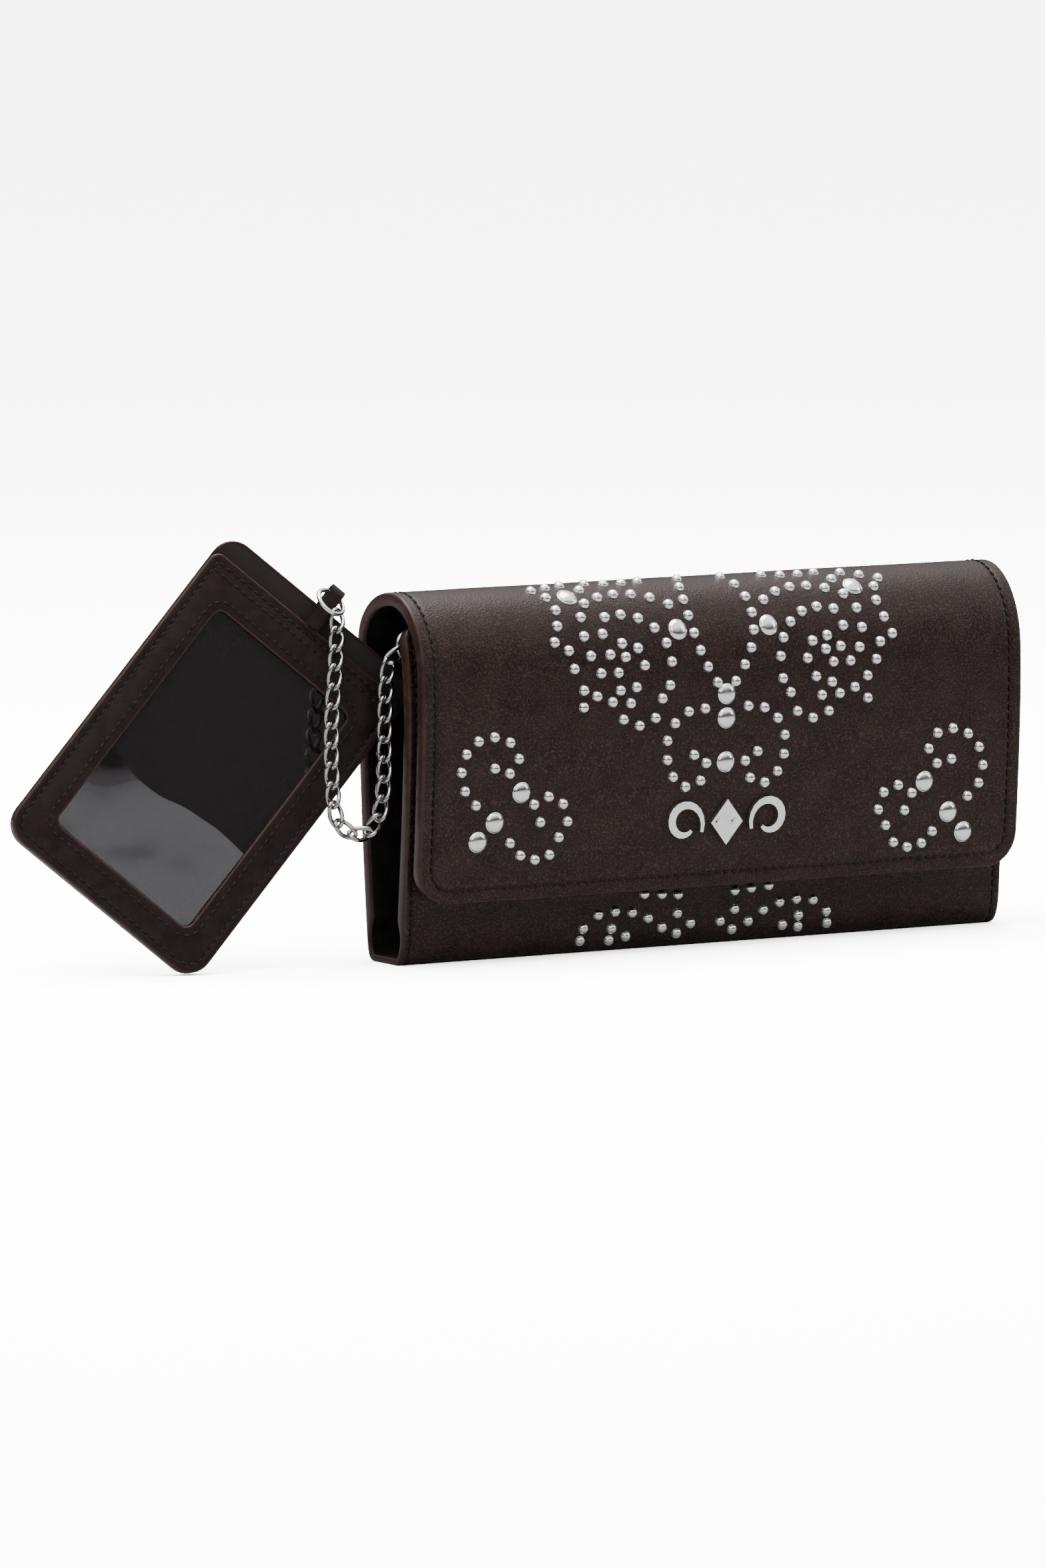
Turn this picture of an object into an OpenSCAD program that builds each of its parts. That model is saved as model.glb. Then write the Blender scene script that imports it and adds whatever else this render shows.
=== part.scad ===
// Chain wallet: a long flap wallet of layered leather with a curb chain and a leather card holder.
// Millimetres, +Z up. X runs along the width, the flap faces -Y, and the origin is the middle of
// the flat strip under the bottom fold.

/* [Wallet] */
// Width of the wallet, side to side
wallet_w = 198; // [192:1:204]
// Height of the top of the spine above the surface
wallet_h = 103.5; // [102.5:0.5:106]
// Height of the lower edge of the flap
flap_end_z = 17.5; // [15:0.5:20]
// Radius of the flap's two lower corners
flap_corner_r = 10; // [6:1:16]
// Height of the top edge of the front panel
front_top_z = 95.5; // [92:0.5:96]

/* [Leather] */
// Thickness of the outer leather
skin_t = 1.2; // [1:0.1:1.4]
// Thickness of the stiffening board inside the panels
board_t = 1.8; // [1.4:0.1:2]
// Thickness of the lining
lining_t = 0.8; // [0.6:0.1:1]
// Thickness of one card pocket layer
slot_t = 0.5; // [0.4:0.1:0.6]

/* [Zip pocket] */
// Width of the zip pocket
pocket_w = 164; // [150:1:166]
// Height of the top edge of the zip pocket
pocket_top_z = 92; // [90:0.5:93]
// Length of the zip window
zip_w = 140; // [120:2:144]
// Height of the zip's centre line
zip_z = 78; // [76:0.5:80]
// Spacing of the zip teeth
tooth_pitch = 3; // [2.5:0.5:4]

/* [Studs] */
// Diameter of a small stud
small_stud_d = 3.2; // [2.8:0.1:3.4]
// Diameter of a large stud
large_stud_d = 6; // [5.5:0.1:6.4]

/* [Card holder] */
// Width of the card holder
holder_w = 68.5; // [66:0.5:72]
// Length of the card holder
holder_l = 106; // [104:0.5:108]
// Thickness of the card holder
holder_t = 4.2; // [4:0.1:4.4]
// Radius of the card holder's corners
holder_corner_r = 7; // [4:1:10]

/* [Chain] */
// Number of links, an odd number
link_count = 23; // [23:2:23]
// Wire diameter of a link
link_wire = 1; // [0.95:0.05:1]
// Outside width of a link
link_w = 4.8; // [4.6:0.1:5]

/* [Hidden] */

leather = "#3b2e2b";
leather_lining = "#2c2220";
board = "#8a7660";
holder_leather = "#241d1b";
nickel = "#c9cacc";
clear_sheet = [0.75, 0.76, 0.82, 0.35];
tape = "#1c1a1a";

// Slit left between solids of two bodies that meet at a fold
fold_slit = 0.05;
// The roll over the top: its middle, and its half depths at the back and at the front
roll_mid_y = -3.5;
roll_back_d = 17.5;
roll_front_d = 18;
// Heights at which the roll leaves the back and the front, the front being the rounder
roll_back_z = 89;
roll_front_z = 80;
// Depth and height of the fold lines: flap to spine, front panel to bottom fold, bottom fold to back
flap_fold = [-21.6, 77.1];
front_fold = [-11, 13];
back_fold = [9.8, 10];
// Half the width of the flat strip that the wallet rests on
rest_half = 6;

panel_t = skin_t + board_t + lining_t;
inward = [[1, 0], [0, 1], [-1, 0]];

// Side outlines of the outer skin, in Y and Z, each running the way the leather is wrapped:
// down the front panel, round the bottom fold, up the back, over the spine and down the flap.
front_path = curve([[-9.6, front_top_z], [-16, 86], [-15, 58], front_fold], 12);
fold_front_path = curve([front_fold, [-10.8, 6], [-9.8, 0], [-rest_half, 0]], 6);
fold_path = concat(fold_front_path, curve([[rest_half, 0], [9, 0], [9.2, 4], back_fold], 6));
back_path = curve([back_fold, [12.4, 36], [14, 62], [roll_mid_y + roll_back_d, roll_back_z]], 8);
function roll(a, half_d, low_z) = [roll_mid_y + half_d * cos(a), low_z + (wallet_h - low_z) * sin(a)];
spine_path = concat([for (a = [0:10:90]) roll(a, roll_back_d, roll_back_z)],
    [for (a = [100:10:180]) roll(a, roll_front_d, roll_front_z)], [flap_fold]);
flap_path = [flap_fold, [-22, 66], [-21, 46], [-18.8, flap_end_z]];

function curve(p, n) = [for (i = [0:n]) let (t = i / n, s = 1 - t)
    s * s * s * p[0] + 3 * s * s * t * p[1] + 3 * s * t * t * p[2] + t * t * t * p[3]];
function unit(v) = v / norm(v);
function turned(v) = [-v[1], v[0]];
function path_normal(path, i) =
    turned(unit(path[min(i + 1, len(path) - 1)] - path[max(i - 1, 0)]));
// The path moved inwards by t, with its two ends moved along the given directions
function inset_path(path, t, first, last) = [for (i = [0:len(path) - 1])
    path[i] + t * (i == 0 ? first : i == len(path) - 1 ? last : path_normal(path, i))];
function reversed(list) = [for (i = [len(list) - 1:-1:0]) list[i]];

// A layer of the wrap: the stretch of a side outline from depth t0 to depth t1, w wide
module layer(path, t0, t1, w, first, last) {
    rotate([90, 0, 90]) linear_extrude(w, center = true)
        polygon(concat(inset_path(path, t0, first, last),
            reversed(inset_path(path, t1, first, last))));
}

function arc(centre, r, from, to, n) = [for (i = [0:n]) let (a = from + (to - from) * i / n)
    centre + r * [cos(a), sin(a)]];
// Outline of a plate from x0 to x1 and z0 to z1 with rounded lower and upper corners
function plate(x0, x1, z0, z1, low_r, high_r) = concat(
    arc([x1 - low_r, z0 + low_r], low_r, -90, 0, 6),
    arc([x1 - high_r, z1 - high_r], high_r, 0, 90, 6),
    arc([x0 + high_r, z1 - high_r], high_r, 90, 180, 6),
    arc([x0 + low_r, z0 + low_r], low_r, 180, 270, 6));
// The outline drawn in X and Z, run through from y0 to y1
module slab(outline, y0, y1) {
    translate([0, y1, 0]) rotate([90, 0, 0]) linear_extrude(y1 - y0) polygon(outline);
}

module flap_layer(t0, t1) {
    intersection() {
        layer(flap_path, t0, t1, wallet_w, inward[0], inward[0]);
        slab(plate(-wallet_w / 2, wallet_w / 2, flap_end_z - 0.2, flap_fold[1] - fold_slit,
            flap_corner_r, 0.01), -30, 0);
    }
}
module spine_layer(t0, t1) {
    layer(spine_path, t0, t1, wallet_w, inward[2], inward[0]);
}
module back_layer(t0, t1) {
    difference() {
        layer(back_path, t0, t1, wallet_w, inward[2], inward[2]);
        translate([-wallet_w, 0, roll_back_z - fold_slit]) cube([2 * wallet_w, 30, 5]);
    }
}
module fold_layer(t0, t1) {
    layer(fold_path, t0, t1, wallet_w, inward[0], inward[2]);
}
module front_layer(t0, t1) {
    intersection() {
        layer(front_path, t0, t1, wallet_w, inward[0], inward[0]);
        slab(plate(-wallet_w / 2, wallet_w / 2, front_fold[1] + fold_slit, front_top_z + 1, 0.01, 6),
            -30, 30);
    }
}

module back_outer() { color(leather) back_layer(0, skin_t); }
module back_board() { color(board) back_layer(skin_t, skin_t + board_t); }
module back_lining() { color(leather_lining) back_layer(skin_t + board_t, panel_t); }
module bottom_fold_outer() { color(leather) fold_layer(0, skin_t); }
module bottom_fold_lining() { color(leather_lining) fold_layer(skin_t, skin_t + lining_t); }
module spine_outer() { color(leather) spine_layer(0, skin_t); }
module spine_board() { color(board) spine_layer(skin_t, skin_t + board_t); }
module spine_lining() { color(leather_lining) spine_layer(skin_t + board_t, panel_t); }
module flap_outer() { color(leather) flap_layer(0, skin_t); }
module flap_board() { color(board) flap_layer(skin_t, skin_t + board_t); }
module flap_lining() { color(leather_lining) flap_layer(skin_t + board_t, panel_t); }
module front_outer() { color(leather) front_layer(0, skin_t); }
module front_board() { color(board) front_layer(skin_t, skin_t + board_t); }
module front_lining() { color(leather_lining) front_layer(skin_t + board_t, panel_t); }

// The outer skin as a strip that starts at its lower end and runs up: [path, height of that end]
flap_skin = [concat(reversed(flap_path), [for (i = [len(spine_path) - 2:-1:0]) spine_path[i]]), flap_end_z];
front_skin = [reversed(front_path), front_fold[1]];
fold_skin = [reversed(fold_front_path), 0];
fold_s = flap_end_z + run(flap_path)[len(flap_path) - 1];
function run(list) = [for (i = 0, s = 0; i < len(list); i = i + 1,
    s = s + (i < len(list) ? norm(list[i] - list[i - 1]) : 0)) s];
function skin_point(skin, s) = let (path = skin[0], marks = run(path), last = len(path) - 1) [for (k = [0, 1])
    lookup(s - skin[1], [for (i = [0:last]) [marks[i], path[i][k]]])];
// Puts its children on the skin at x and at the distance s up it, with -Y pointing out of the
// leather, just far enough out to clear the leather within reach
module on_skin(skin, x, s, reach) {
    along = unit(skin_point(skin, s + reach) - skin_point(skin, s - reach));
    outward = -[along[1], -along[0]];
    centre = skin_point(skin, s);
    marks = run(skin[0]);
    bulge = max(concat([0], [for (i = [0:len(marks) - 1])
        if (abs(marks[i] + skin[1] - s) < reach) (skin[0][i] - centre) * outward]));
    spot = centre + (bulge + stud_gap) * outward;
    translate([x, spot[0], spot[1]]) rotate([atan2(-along[0], along[1]), 0, 0]) children();
}

// Studs. A curve of the pattern is [x, s, radius, first angle, last angle, count] on the right
// half, with angles from +X towards up the skin. The left half mirrors it, and the whole is a
// little askew. Single studs are [x, s].
swirl_curves = [[76, 50.5, 10.4, 120, -58, 7], [72.3, 55, 4.4, 180, 320, 3],
    [57.8, 38.2, 6.3, 40, 235, 5], [62, 36, 9.3, 238, 330, 4]];
lower_wing_curves = [[8.5, 57, 11.2, -15, 97, 5], [12.2, 52, 5.8, 173, 332, 4],
    [28.8, 72, 8, 228, 310, 3]];
upper_wing_curves = [[33, 80.7, 15, 218, 72, 8], [35, 87, 16.4, -81, -6, 5], [85, 102, 32.8, 206, 188, 3],
    [32.8, 81.4, 5.9, 238, 27, 5], [27.7, 77.4, 8, -61, 48, 4], [28, 90.8, 17.8, -42, 14, 4],
    [30, 78.1, 24.9, 125, 60, 6], [47, 102.2, 6.6, 150, 0, 4], [29, 150, 41.5, 258, 282, 4]];
feeler_curves = [[-20.5, 95.7, 31, -40.5, 27, 8]];
flap_single_spots = [[60.4, 37.3], [10.5, 55.2], [47, 69.4], [39.6, 90], [56.6, 105.6]];
large_spots = [[66.8, 45.6], [75.2, 37], [80.5, 31.4], [0, 52.7], [0, 65.1], [0, 71.9], [15, 90.7],
    [46.7, 102.4]];
front_small_spots = [[9.4, 14.9], [14.8, 15.3], [20.6, 15.7]];
fold_small_curves = [[30, -11.5, 24.9, 77, 129, 5]];
fold_single_spots = [[40.3, 9.2], [41, 5.6], [31, 8.6], [31.4, 5.1], [26, 6], [9.5, 11.7], [4.9, 8.5],
    [9.2, 5.8]];
stud_gap = 0.05;
// Least distance from a fold line to the middle of a small stud
fold_margin = small_stud_d / 2 + 0.3;

function curve_spots(list) = [for (c = list) for (i = [0:c[5] - 1])
    let (a = c[3] + (c[4] - c[3]) * i / (c[5] - 1)) [c[0] + c[2] * cos(a), c[1] + c[2] * sin(a)]];
function mirrored(spots) = concat(spots, [for (s = spots) if (s[0] > 0.1) [-s[0], s[1]]]);
function skewed(spots) = [for (s = spots) [s[0], s[1] - 0.0005 * s[0] * abs(s[0])]];
function clear_of_fold(spots) = [for (s = spots)
    [s[0], s[1] < fold_s ? min(s[1], fold_s - fold_margin) : max(s[1], fold_s + fold_margin)]];
flap_small_spots = clear_of_fold(skewed(mirrored(concat(curve_spots(swirl_curves), flap_single_spots,
    curve_spots(lower_wing_curves), curve_spots(upper_wing_curves), curve_spots(feeler_curves)))));
flap_large_spots = skewed(mirrored(large_spots));
function below_fold(spots) = [for (s = spots) if (s[1] < fold_s) s];
function above_fold(spots) = [for (s = spots) if (s[1] > fold_s) s];

// A stud standing out along -Y from the origin: a flange with a smaller button on it
module stud(d, h) {
    rotate([90, 0, 0]) union() {
        cylinder(d = d, h = h * 0.55, $fn = 8);
        cylinder(d = d * 0.7, h = h, $fn = 8);
    }
}
module studs(skin, spots, d, h) {
    color(nickel) for (s = spots) on_skin(skin, s[0], s[1], d / 2) stud(d, h);
}
small_h = 1.3;
large_h = 1.2;
module flap_small_studs() { studs(flap_skin, below_fold(flap_small_spots), small_stud_d, small_h); }
module flap_large_studs() { studs(flap_skin, below_fold(flap_large_spots), large_stud_d, large_h); }
module spine_small_studs() { studs(flap_skin, above_fold(flap_small_spots), small_stud_d, small_h); }
module spine_large_studs() { studs(flap_skin, above_fold(flap_large_spots), large_stud_d, large_h); }
module front_small_studs() { studs(front_skin, mirrored(front_small_spots), small_stud_d, small_h); }
module fold_small_studs() {
    studs(fold_skin, mirrored(concat(curve_spots(fold_small_curves), fold_single_spots)), small_stud_d,
        small_h);
}

// Ornament in the middle of the flap: a lozenge between two curled ribbons
ornament_z = 36;
ornament_t = 1.5;
function ribbon_line() = [for (i = [0:18]) let (t = i / 18, a = 200 - 330 * t, r = 2.4 + 4.6 * (1 - t))
    [13.2 + 4 * (1 - t) * 0.4 + r * cos(a), r * sin(a)]];
module ribbon() {
    line = ribbon_line();
    last = len(line) - 1;
    polygon(concat([for (i = [0:last]) line[i] + (0.5 + 0.7 * sin(180 * i / last)) * path_normal(line, i)],
        [for (i = [last:-1:0]) line[i] - (0.5 + 0.7 * sin(180 * i / last)) * path_normal(line, i)]));
}
module flap_ornament() {
    color(nickel) on_skin(flap_skin, 0, ornament_z, 7) rotate([90, 0, 0]) {
        linear_extrude(ornament_t) polygon([[-5.2, 0], [0, -6.5], [5.2, 0], [0, 6.5]]);
        for (side = [0, 1]) mirror([side, 0, 0]) linear_extrude(ornament_t) ribbon();
    }
}
module ornament_rivets() {
    color(nickel) for (x = [-2.6, 2.6]) on_skin(flap_skin, x, ornament_z, 7)
        translate([0, -ornament_t - 0.02, 0]) rotate([90, 0, 0]) cylinder(d = 2, h = 0.5, $fn = 10);
}

// Magnetic snap between the flap's lining and the front panel. Each half lies along its own panel.
snap_z = 40;
snap_d = 15;
snap_stud_h = 1.3;
snap_socket_h = 1.2;
washer_t = 0.4;
inner_gap = panel_t + 0.3;
module disc(y0, y1, d) { translate([0, y1, 0]) rotate([90, 0, 0]) cylinder(d = d, h = y1 - y0); }
module snap_stud() {
    color(nickel) on_skin(flap_skin, 0, snap_z, 1) disc(inner_gap, inner_gap + snap_stud_h, snap_d * 0.7);
}
module snap_stud_washer() {
    color(nickel) on_skin(flap_skin, 0, snap_z, 1) difference() {
        disc(inner_gap, inner_gap + washer_t, snap_d);
        disc(inner_gap - 1, inner_gap + 1, snap_d * 0.7 + 0.2);
    }
}
module snap_socket() {
    color(nickel) on_skin(front_skin, 0, snap_z, snap_d / 2) disc(-snap_socket_h, 0, snap_d);
}
module snap_socket_washer() {
    washer_y = inner_gap + 0.2;
    color(nickel) on_skin(front_skin, 0, snap_z, 1) disc(washer_y, washer_y + washer_t, snap_d * 0.8);
}

// Card pocket layers on the inside of the front panel, each a little lower than the one behind
slot_w = 176;
slot_steps = 3;
slot_low_z = 52;
slot_pitch = slot_t + 0.02;
module slot_layer(i, t, outline) {
    color(leather_lining) intersection() {
        layer(front_path, panel_t + 0.02 + i * slot_pitch, panel_t + 0.02 + i * slot_pitch + t, wallet_w,
            inward[0], inward[0]);
        slab(outline, -30, 30);
    }
}
module card_slot_layers() {
    for (side = [-1, 1]) for (i = [0:slot_steps - 1])
        slot_layer(i, slot_t, plate(side * slot_w / 4 - slot_w / 4 + 1, side * slot_w / 4 + slot_w / 4 - 1,
            slot_low_z, 86 - 8 * i, 2, 2));
}
module card_slot_divider() { slot_layer(slot_steps, 0.4, plate(-0.8, 0.8, slot_low_z, 68, 0.3, 0.3)); }

// Zip pocket standing in the middle of the wallet
wall_t = 0.7;
pocket_front_y = -2.9;
pocket_back_y = 0.4;
pocket_low_z = 3;
zip_window_h = 8;
gusset_t = 0.7;
tape_t = 0.4;
module pocket_front_wall() {
    color(leather_lining) difference() {
        slab(plate(-pocket_w / 2, pocket_w / 2, pocket_low_z, pocket_top_z, 4, 4),
            pocket_front_y, pocket_front_y + wall_t);
        slab(plate(-zip_w / 2, zip_w / 2, zip_z - zip_window_h / 2, zip_z + zip_window_h / 2, 2, 2),
            pocket_front_y - 1, pocket_front_y + 2);
    }
}
module pocket_back_wall() {
    color(leather_lining) slab(plate(-pocket_w / 2, pocket_w / 2, pocket_low_z, pocket_top_z, 4, 4),
        pocket_back_y - wall_t, pocket_back_y);
}
module pocket_gusset() {
    color(leather_lining) difference() {
        slab(plate(-pocket_w / 2, pocket_w / 2, pocket_low_z, pocket_top_z, 4, 4),
            pocket_front_y + wall_t, pocket_back_y - wall_t);
        slab(plate(-pocket_w / 2 + gusset_t * 4, pocket_w / 2 - gusset_t * 4, pocket_low_z + gusset_t * 4,
            pocket_top_z - gusset_t * 2, 3, 3), pocket_front_y, pocket_back_y);
    }
}
zip_y = pocket_front_y + wall_t;
tooth_t = 1.5;
tooth_run = zip_w - 6;
module zip_tape(z0, z1) {
    color(tape) slab(plate(-zip_w / 2 - 4, zip_w / 2 + 4, z0, z1, 0.5, 0.5), zip_y, zip_y + tape_t);
}
module zip_tape_upper() { zip_tape(zip_z + 0.1, zip_z + 6); }
module zip_tape_lower() { zip_tape(zip_z - 6, zip_z - 0.1); }
// One row of teeth, each clasping the edge of its tape from the front
module teeth(side) {
    color(nickel) for (i = [0:floor(tooth_run / tooth_pitch) - 1])
        translate([-tooth_run / 2 + (i + (side > 0 ? 0.25 : 0.75)) * tooth_pitch - tooth_pitch * 0.23,
            zip_y - tooth_t * 0.6, zip_z + (side > 0 ? -0.7 : -1.6)])
            cube([tooth_pitch * 0.44, tooth_t * 0.6 - 0.02, 2.3]);
}
module zip_teeth_upper() { teeth(1); }
module zip_teeth_lower() { teeth(-1); }
module zip_stops() {
    color(nickel) for (side = [-1, 1])
        translate([side * (tooth_run / 2 + 1.2) - 0.8, zip_y - 0.9, zip_z - 1.8]) cube([1.6, 0.88, 3.6]);
}
// The slider at the closed end of the zip, with a round stub on which the pull swings
slider_x = tooth_run / 2 - 6;
slider_l = 8;
slider_h = 5.6;
slider_back_y = zip_y - tooth_t * 0.6 - 0.12;
slider_plate_t = 0.8;
stub_d = 1.6;
pull_t = 0.7;
pull_y = slider_back_y - slider_plate_t - 0.1;
module zip_slider() {
    color(nickel) union() {
        translate([slider_x - slider_l / 2, slider_back_y - slider_plate_t, zip_z - slider_h / 2])
            cube([slider_l, slider_plate_t, slider_h]);
        for (side = [-1, 1]) translate([slider_x - slider_l / 2, slider_back_y - 0.1,
            zip_z + side * (slider_h / 2 - 0.35) - 0.35]) cube([slider_l, 0.9, 0.7]);
        translate([slider_x, slider_back_y - slider_plate_t + 0.1, zip_z]) rotate([90, 0, 0]) {
            cylinder(d = stub_d, h = pull_t + 0.3, $fn = 32);
            translate([0, 0, pull_t + 0.3]) cylinder(d = stub_d + 1, h = 0.4, $fn = 32);
        }
    }
}
module zip_pull() {
    color(nickel) difference() {
        slab(concat(arc([slider_x, zip_z], 2.4, 0, 180, 10),
            [[slider_x - 2, zip_z - 14], [slider_x + 2, zip_z - 14]]), pull_y - pull_t + 0.05, pull_y + 0.05);
        translate([slider_x, pull_y + 1, zip_z]) rotate([90, 0, 0])
            cylinder(d = stub_d + 0.12, h = 3, $fn = 32);
        slab(plate(slider_x - 1, slider_x + 1, zip_z - 12.5, zip_z - 6, 0.6, 0.6), pull_y - 2, pull_y + 2);
    }
}

// Closed loops of wire: rings and chain links. The loop lies in the plane of along and across, has
// a straight stretch of length s on each side, and its ends have the mean radius r.
function loop_line(s, r, n) = [for (side = [0, 1]) for (i = [0:n]) let (a = -90 + 180 * (side + i / n))
    [(side == 0 ? s : -s) / 2 + r * cos(a), r * sin(a), a]];
function ring_line(r, n) = [for (i = [0:2 * n - 1]) let (a = 180 * i / n) [r * cos(a), r * sin(a), a]];
module wire_loop(centre, along, across, s, r, wire, n, sides) {
    line = s > 0 ? loop_line(s, r, n) : ring_line(r, n);
    up = cross(along, across);
    rings = len(line);
    polyhedron([for (p = line) for (k = [0:sides - 1])
        let (b = 360 * (k + 0.5) / sides, w = wire / 2 * cos(b), v = wire / 2 * sin(b))
        centre + along * (p[0] + w * cos(p[2])) + across * (p[1] + w * sin(p[2])) + up * v],
        [for (i = [0:rings - 1]) for (k = [0:sides - 1]) let (j = (i + 1) % rings, m = (k + 1) % sides)
            [i * sides + k, i * sides + m, j * sides + m, j * sides + k]], 4);
}

// The holder leans against the wallet's open left side, with one corner on the surface
holder_turn = [-13, 40, -23];
function turn_axis(t, v) = let (
    a = [v[0], v[1] * cos(t[0]) - v[2] * sin(t[0]), v[1] * sin(t[0]) + v[2] * cos(t[0])],
    b = [a[0] * cos(t[1]) + a[2] * sin(t[1]), a[1], -a[0] * sin(t[1]) + a[2] * cos(t[1])])
    [b[0] * cos(t[2]) - b[1] * sin(t[2]), b[0] * sin(t[2]) + b[1] * cos(t[2]), b[2]];
hx = turn_axis(holder_turn, [1, 0, 0]);
hy = turn_axis(holder_turn, [0, 1, 0]);
hz = turn_axis(holder_turn, [0, 0, 1]);
corner_drop = holder_corner_r * norm([hx[2], hz[2]]) + holder_t / 2 * abs(hy[2]);
holder_foot = [-181.5, 15.5];
holder_rise = corner_drop - (holder_w / 2 - holder_corner_r) * hx[2] - holder_corner_r * hz[2] + 0.02;
holder_origin = [holder_foot[0], holder_foot[1], holder_rise];
function on_holder(p) = holder_origin + p[0] * hx + p[1] * hy + p[2] * hz;
module placed() { translate(holder_origin) rotate(holder_turn) children(); }

ring_r = 4.2;
ring_wire = 1.3;
tab_bore_z = holder_l + 4.5;
ring_lean = 45;
holder_ring_dir = -sin(ring_lean) * hy - cos(ring_lean) * hz;
// The ring hangs so that its curve runs through the middle of the tab's eye
ring_hang = ring_r - 0.4;
holder_ring_centre = on_holder([0, 0, tab_bore_z]) + ring_hang * holder_ring_dir;
wallet_ring_centre = [-91, -1.6, 88.5];

// Chain: the route of its joints from the wallet's ring to the holder's ring
link_r = link_w / 2 - link_wire / 2;
// The way down within the plane of the holder's ring
ring_normal = cross(hx, holder_ring_dir);
hang = unit([0, 0, -1] - ([0, 0, -1] * ring_normal) * ring_normal);
hook = ring_r - ring_wire / 2 - link_wire / 2 - 0.08;
link_reach = 3.48;
start_dir = unit([-0.9, -0.12, -0.42]);
chain_route = [wallet_ring_centre + (hook + 0.4) * start_dir, [-99, -3, 84], [-101, -4.8, 76],
    [-102.5, -6.6, 64], [-103.5, -8, 50.5], [-106, -8.6, 40.5], [-112, -8.8, 37], [-118.5, -8, 41],
    [-119, -6.2, 51], [-117, -2.4, 68], [-113.6, 1.2, 84], holder_ring_centre + (hook + 0.5) * hang];
route_steps = 24;
function spline_point(p, t) = let (n = len(p) - 1, i = min(floor(t), n - 1), f = t - i,
    a = p[max(i - 1, 0)], b = p[i], c = p[i + 1], d = p[min(i + 2, n)])
    0.5 * ((2 * b) + (c - a) * f + (2 * a - 5 * b + 4 * c - d) * f * f + (3 * b - a - 3 * c + d) * f * f * f);
route = [for (i = [0:(len(chain_route) - 1) * route_steps]) spline_point(chain_route, i / route_steps)];
route_run = run(route);
route_length = route_run[len(route_run) - 1];
function axis_table(k) = [for (i = [0:len(route) - 1]) [route_run[i], route[i][k]]];
tables = [axis_table(0), axis_table(1), axis_table(2)];
chain_joints = [for (i = [0:link_count]) let (s = route_length * i / link_count)
    [lookup(s, tables[0]), lookup(s, tables[1]), lookup(s, tables[2])]];
module link(k) {
    along = unit(chain_joints[k + 1] - chain_joints[k]);
    flat_up = unit(-hy - (-hy * along) * along);
    edge_up = cross(along, flat_up);
    across = k % 2 == 0 ? flat_up : edge_up;
    wire_loop((chain_joints[k] + chain_joints[k + 1]) / 2, along, across, 2 * (link_reach - link_r), link_r,
        link_wire, 4, 6);
}
module chain_edge_links() { color(nickel) for (k = [0:2:link_count - 1]) link(k); }
module chain_flat_links() { color(nickel) for (k = [1:2:link_count - 1]) link(k); }
module wallet_ring() {
    color(nickel) wire_loop(wallet_ring_centre, [1, 0, 0], [0, 0, 1], 0, ring_r, ring_wire, 10, 8);
}
module holder_ring() {
    color(nickel) wire_loop(holder_ring_centre, hx, holder_ring_dir, 0, ring_r, ring_wire, 10, 8);
}

// A leather tab folded round a ring: drawn in the plane across the ring's wire, eye at the origin
tab_w = 4.2;
eye_r = 1.7;
tab_t = 0.8;
module tab_shape(half_gap, length) {
    difference() {
        linear_extrude(tab_w, center = true)
            polygon(concat(arc([0, 0], eye_r + tab_t, 200, -20, 14),
                [[half_gap + tab_t, -length], [-half_gap - tab_t, -length]]));
        linear_extrude(tab_w + 2, center = true) polygon(arc([0, 0], eye_r, 0, 345, 15));
        translate([-half_gap, -length - 1, -tab_w]) cube([2 * half_gap, length - eye_r - 0.5, 2 * tab_w]);
    }
}
pocket_mid_y = (pocket_front_y + pocket_back_y) / 2;
pocket_half_t = (pocket_back_y - pocket_front_y) / 2 + 0.05;
module wallet_ring_tab() {
    color(leather) translate([wallet_ring_centre[0] + ring_hang, pocket_mid_y, wallet_ring_centre[2]])
        rotate([0, 0, 90]) tab_shape(pocket_half_t, 15);
}
module wallet_ring_tab_rivet() {
    color(nickel) translate([wallet_ring_centre[0] + ring_hang + 12, pocket_mid_y - pocket_half_t - tab_t,
        wallet_ring_centre[2]]) rotate([90, 0, 0]) cylinder(d = 3, h = 0.6, $fn = 12);
}
module holder_ring_tab() {
    color(holder_leather) placed() translate([0, 0, tab_bore_z]) rotate([90, 0, 90])
        tab_shape(holder_t / 2 + 0.05, 13);
}
module holder_ring_tab_rivet() {
    color(nickel) placed() translate([0, -holder_t / 2 - 0.05 - tab_t, tab_bore_z - 10.5])
        rotate([90, 0, 0]) cylinder(d = 3, h = 0.6, $fn = 12);
}

// Card holder: back, lining, window sheet and a front frame that is lower than the back at the top
holder_leather_t = 1.2;
sheet_t = 0.4;
window_margin = 10.5;
window_top_margin = 12.5;
front_lip = 7;
module holder_slab(y0, y1, z1, r) {
    slab(plate(-holder_w / 2, holder_w / 2, 0, z1, holder_corner_r, r), y0, y1);
}
module window_slab(margin, y0, y1, r) {
    top_margin = margin + window_top_margin - window_margin;
    slab(plate(-holder_w / 2 + margin, holder_w / 2 - margin, margin, holder_l - front_lip - top_margin, r, r),
        y0, y1);
}
module holder_back() {
    color(holder_leather) placed()
        holder_slab(holder_t / 2 - holder_leather_t, holder_t / 2, holder_l, holder_corner_r);
}
module holder_lining() {
    color(leather_lining) placed()
        holder_slab(holder_t / 2 - holder_leather_t - 0.5, holder_t / 2 - holder_leather_t, holder_l - 1,
            holder_corner_r);
}
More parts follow.
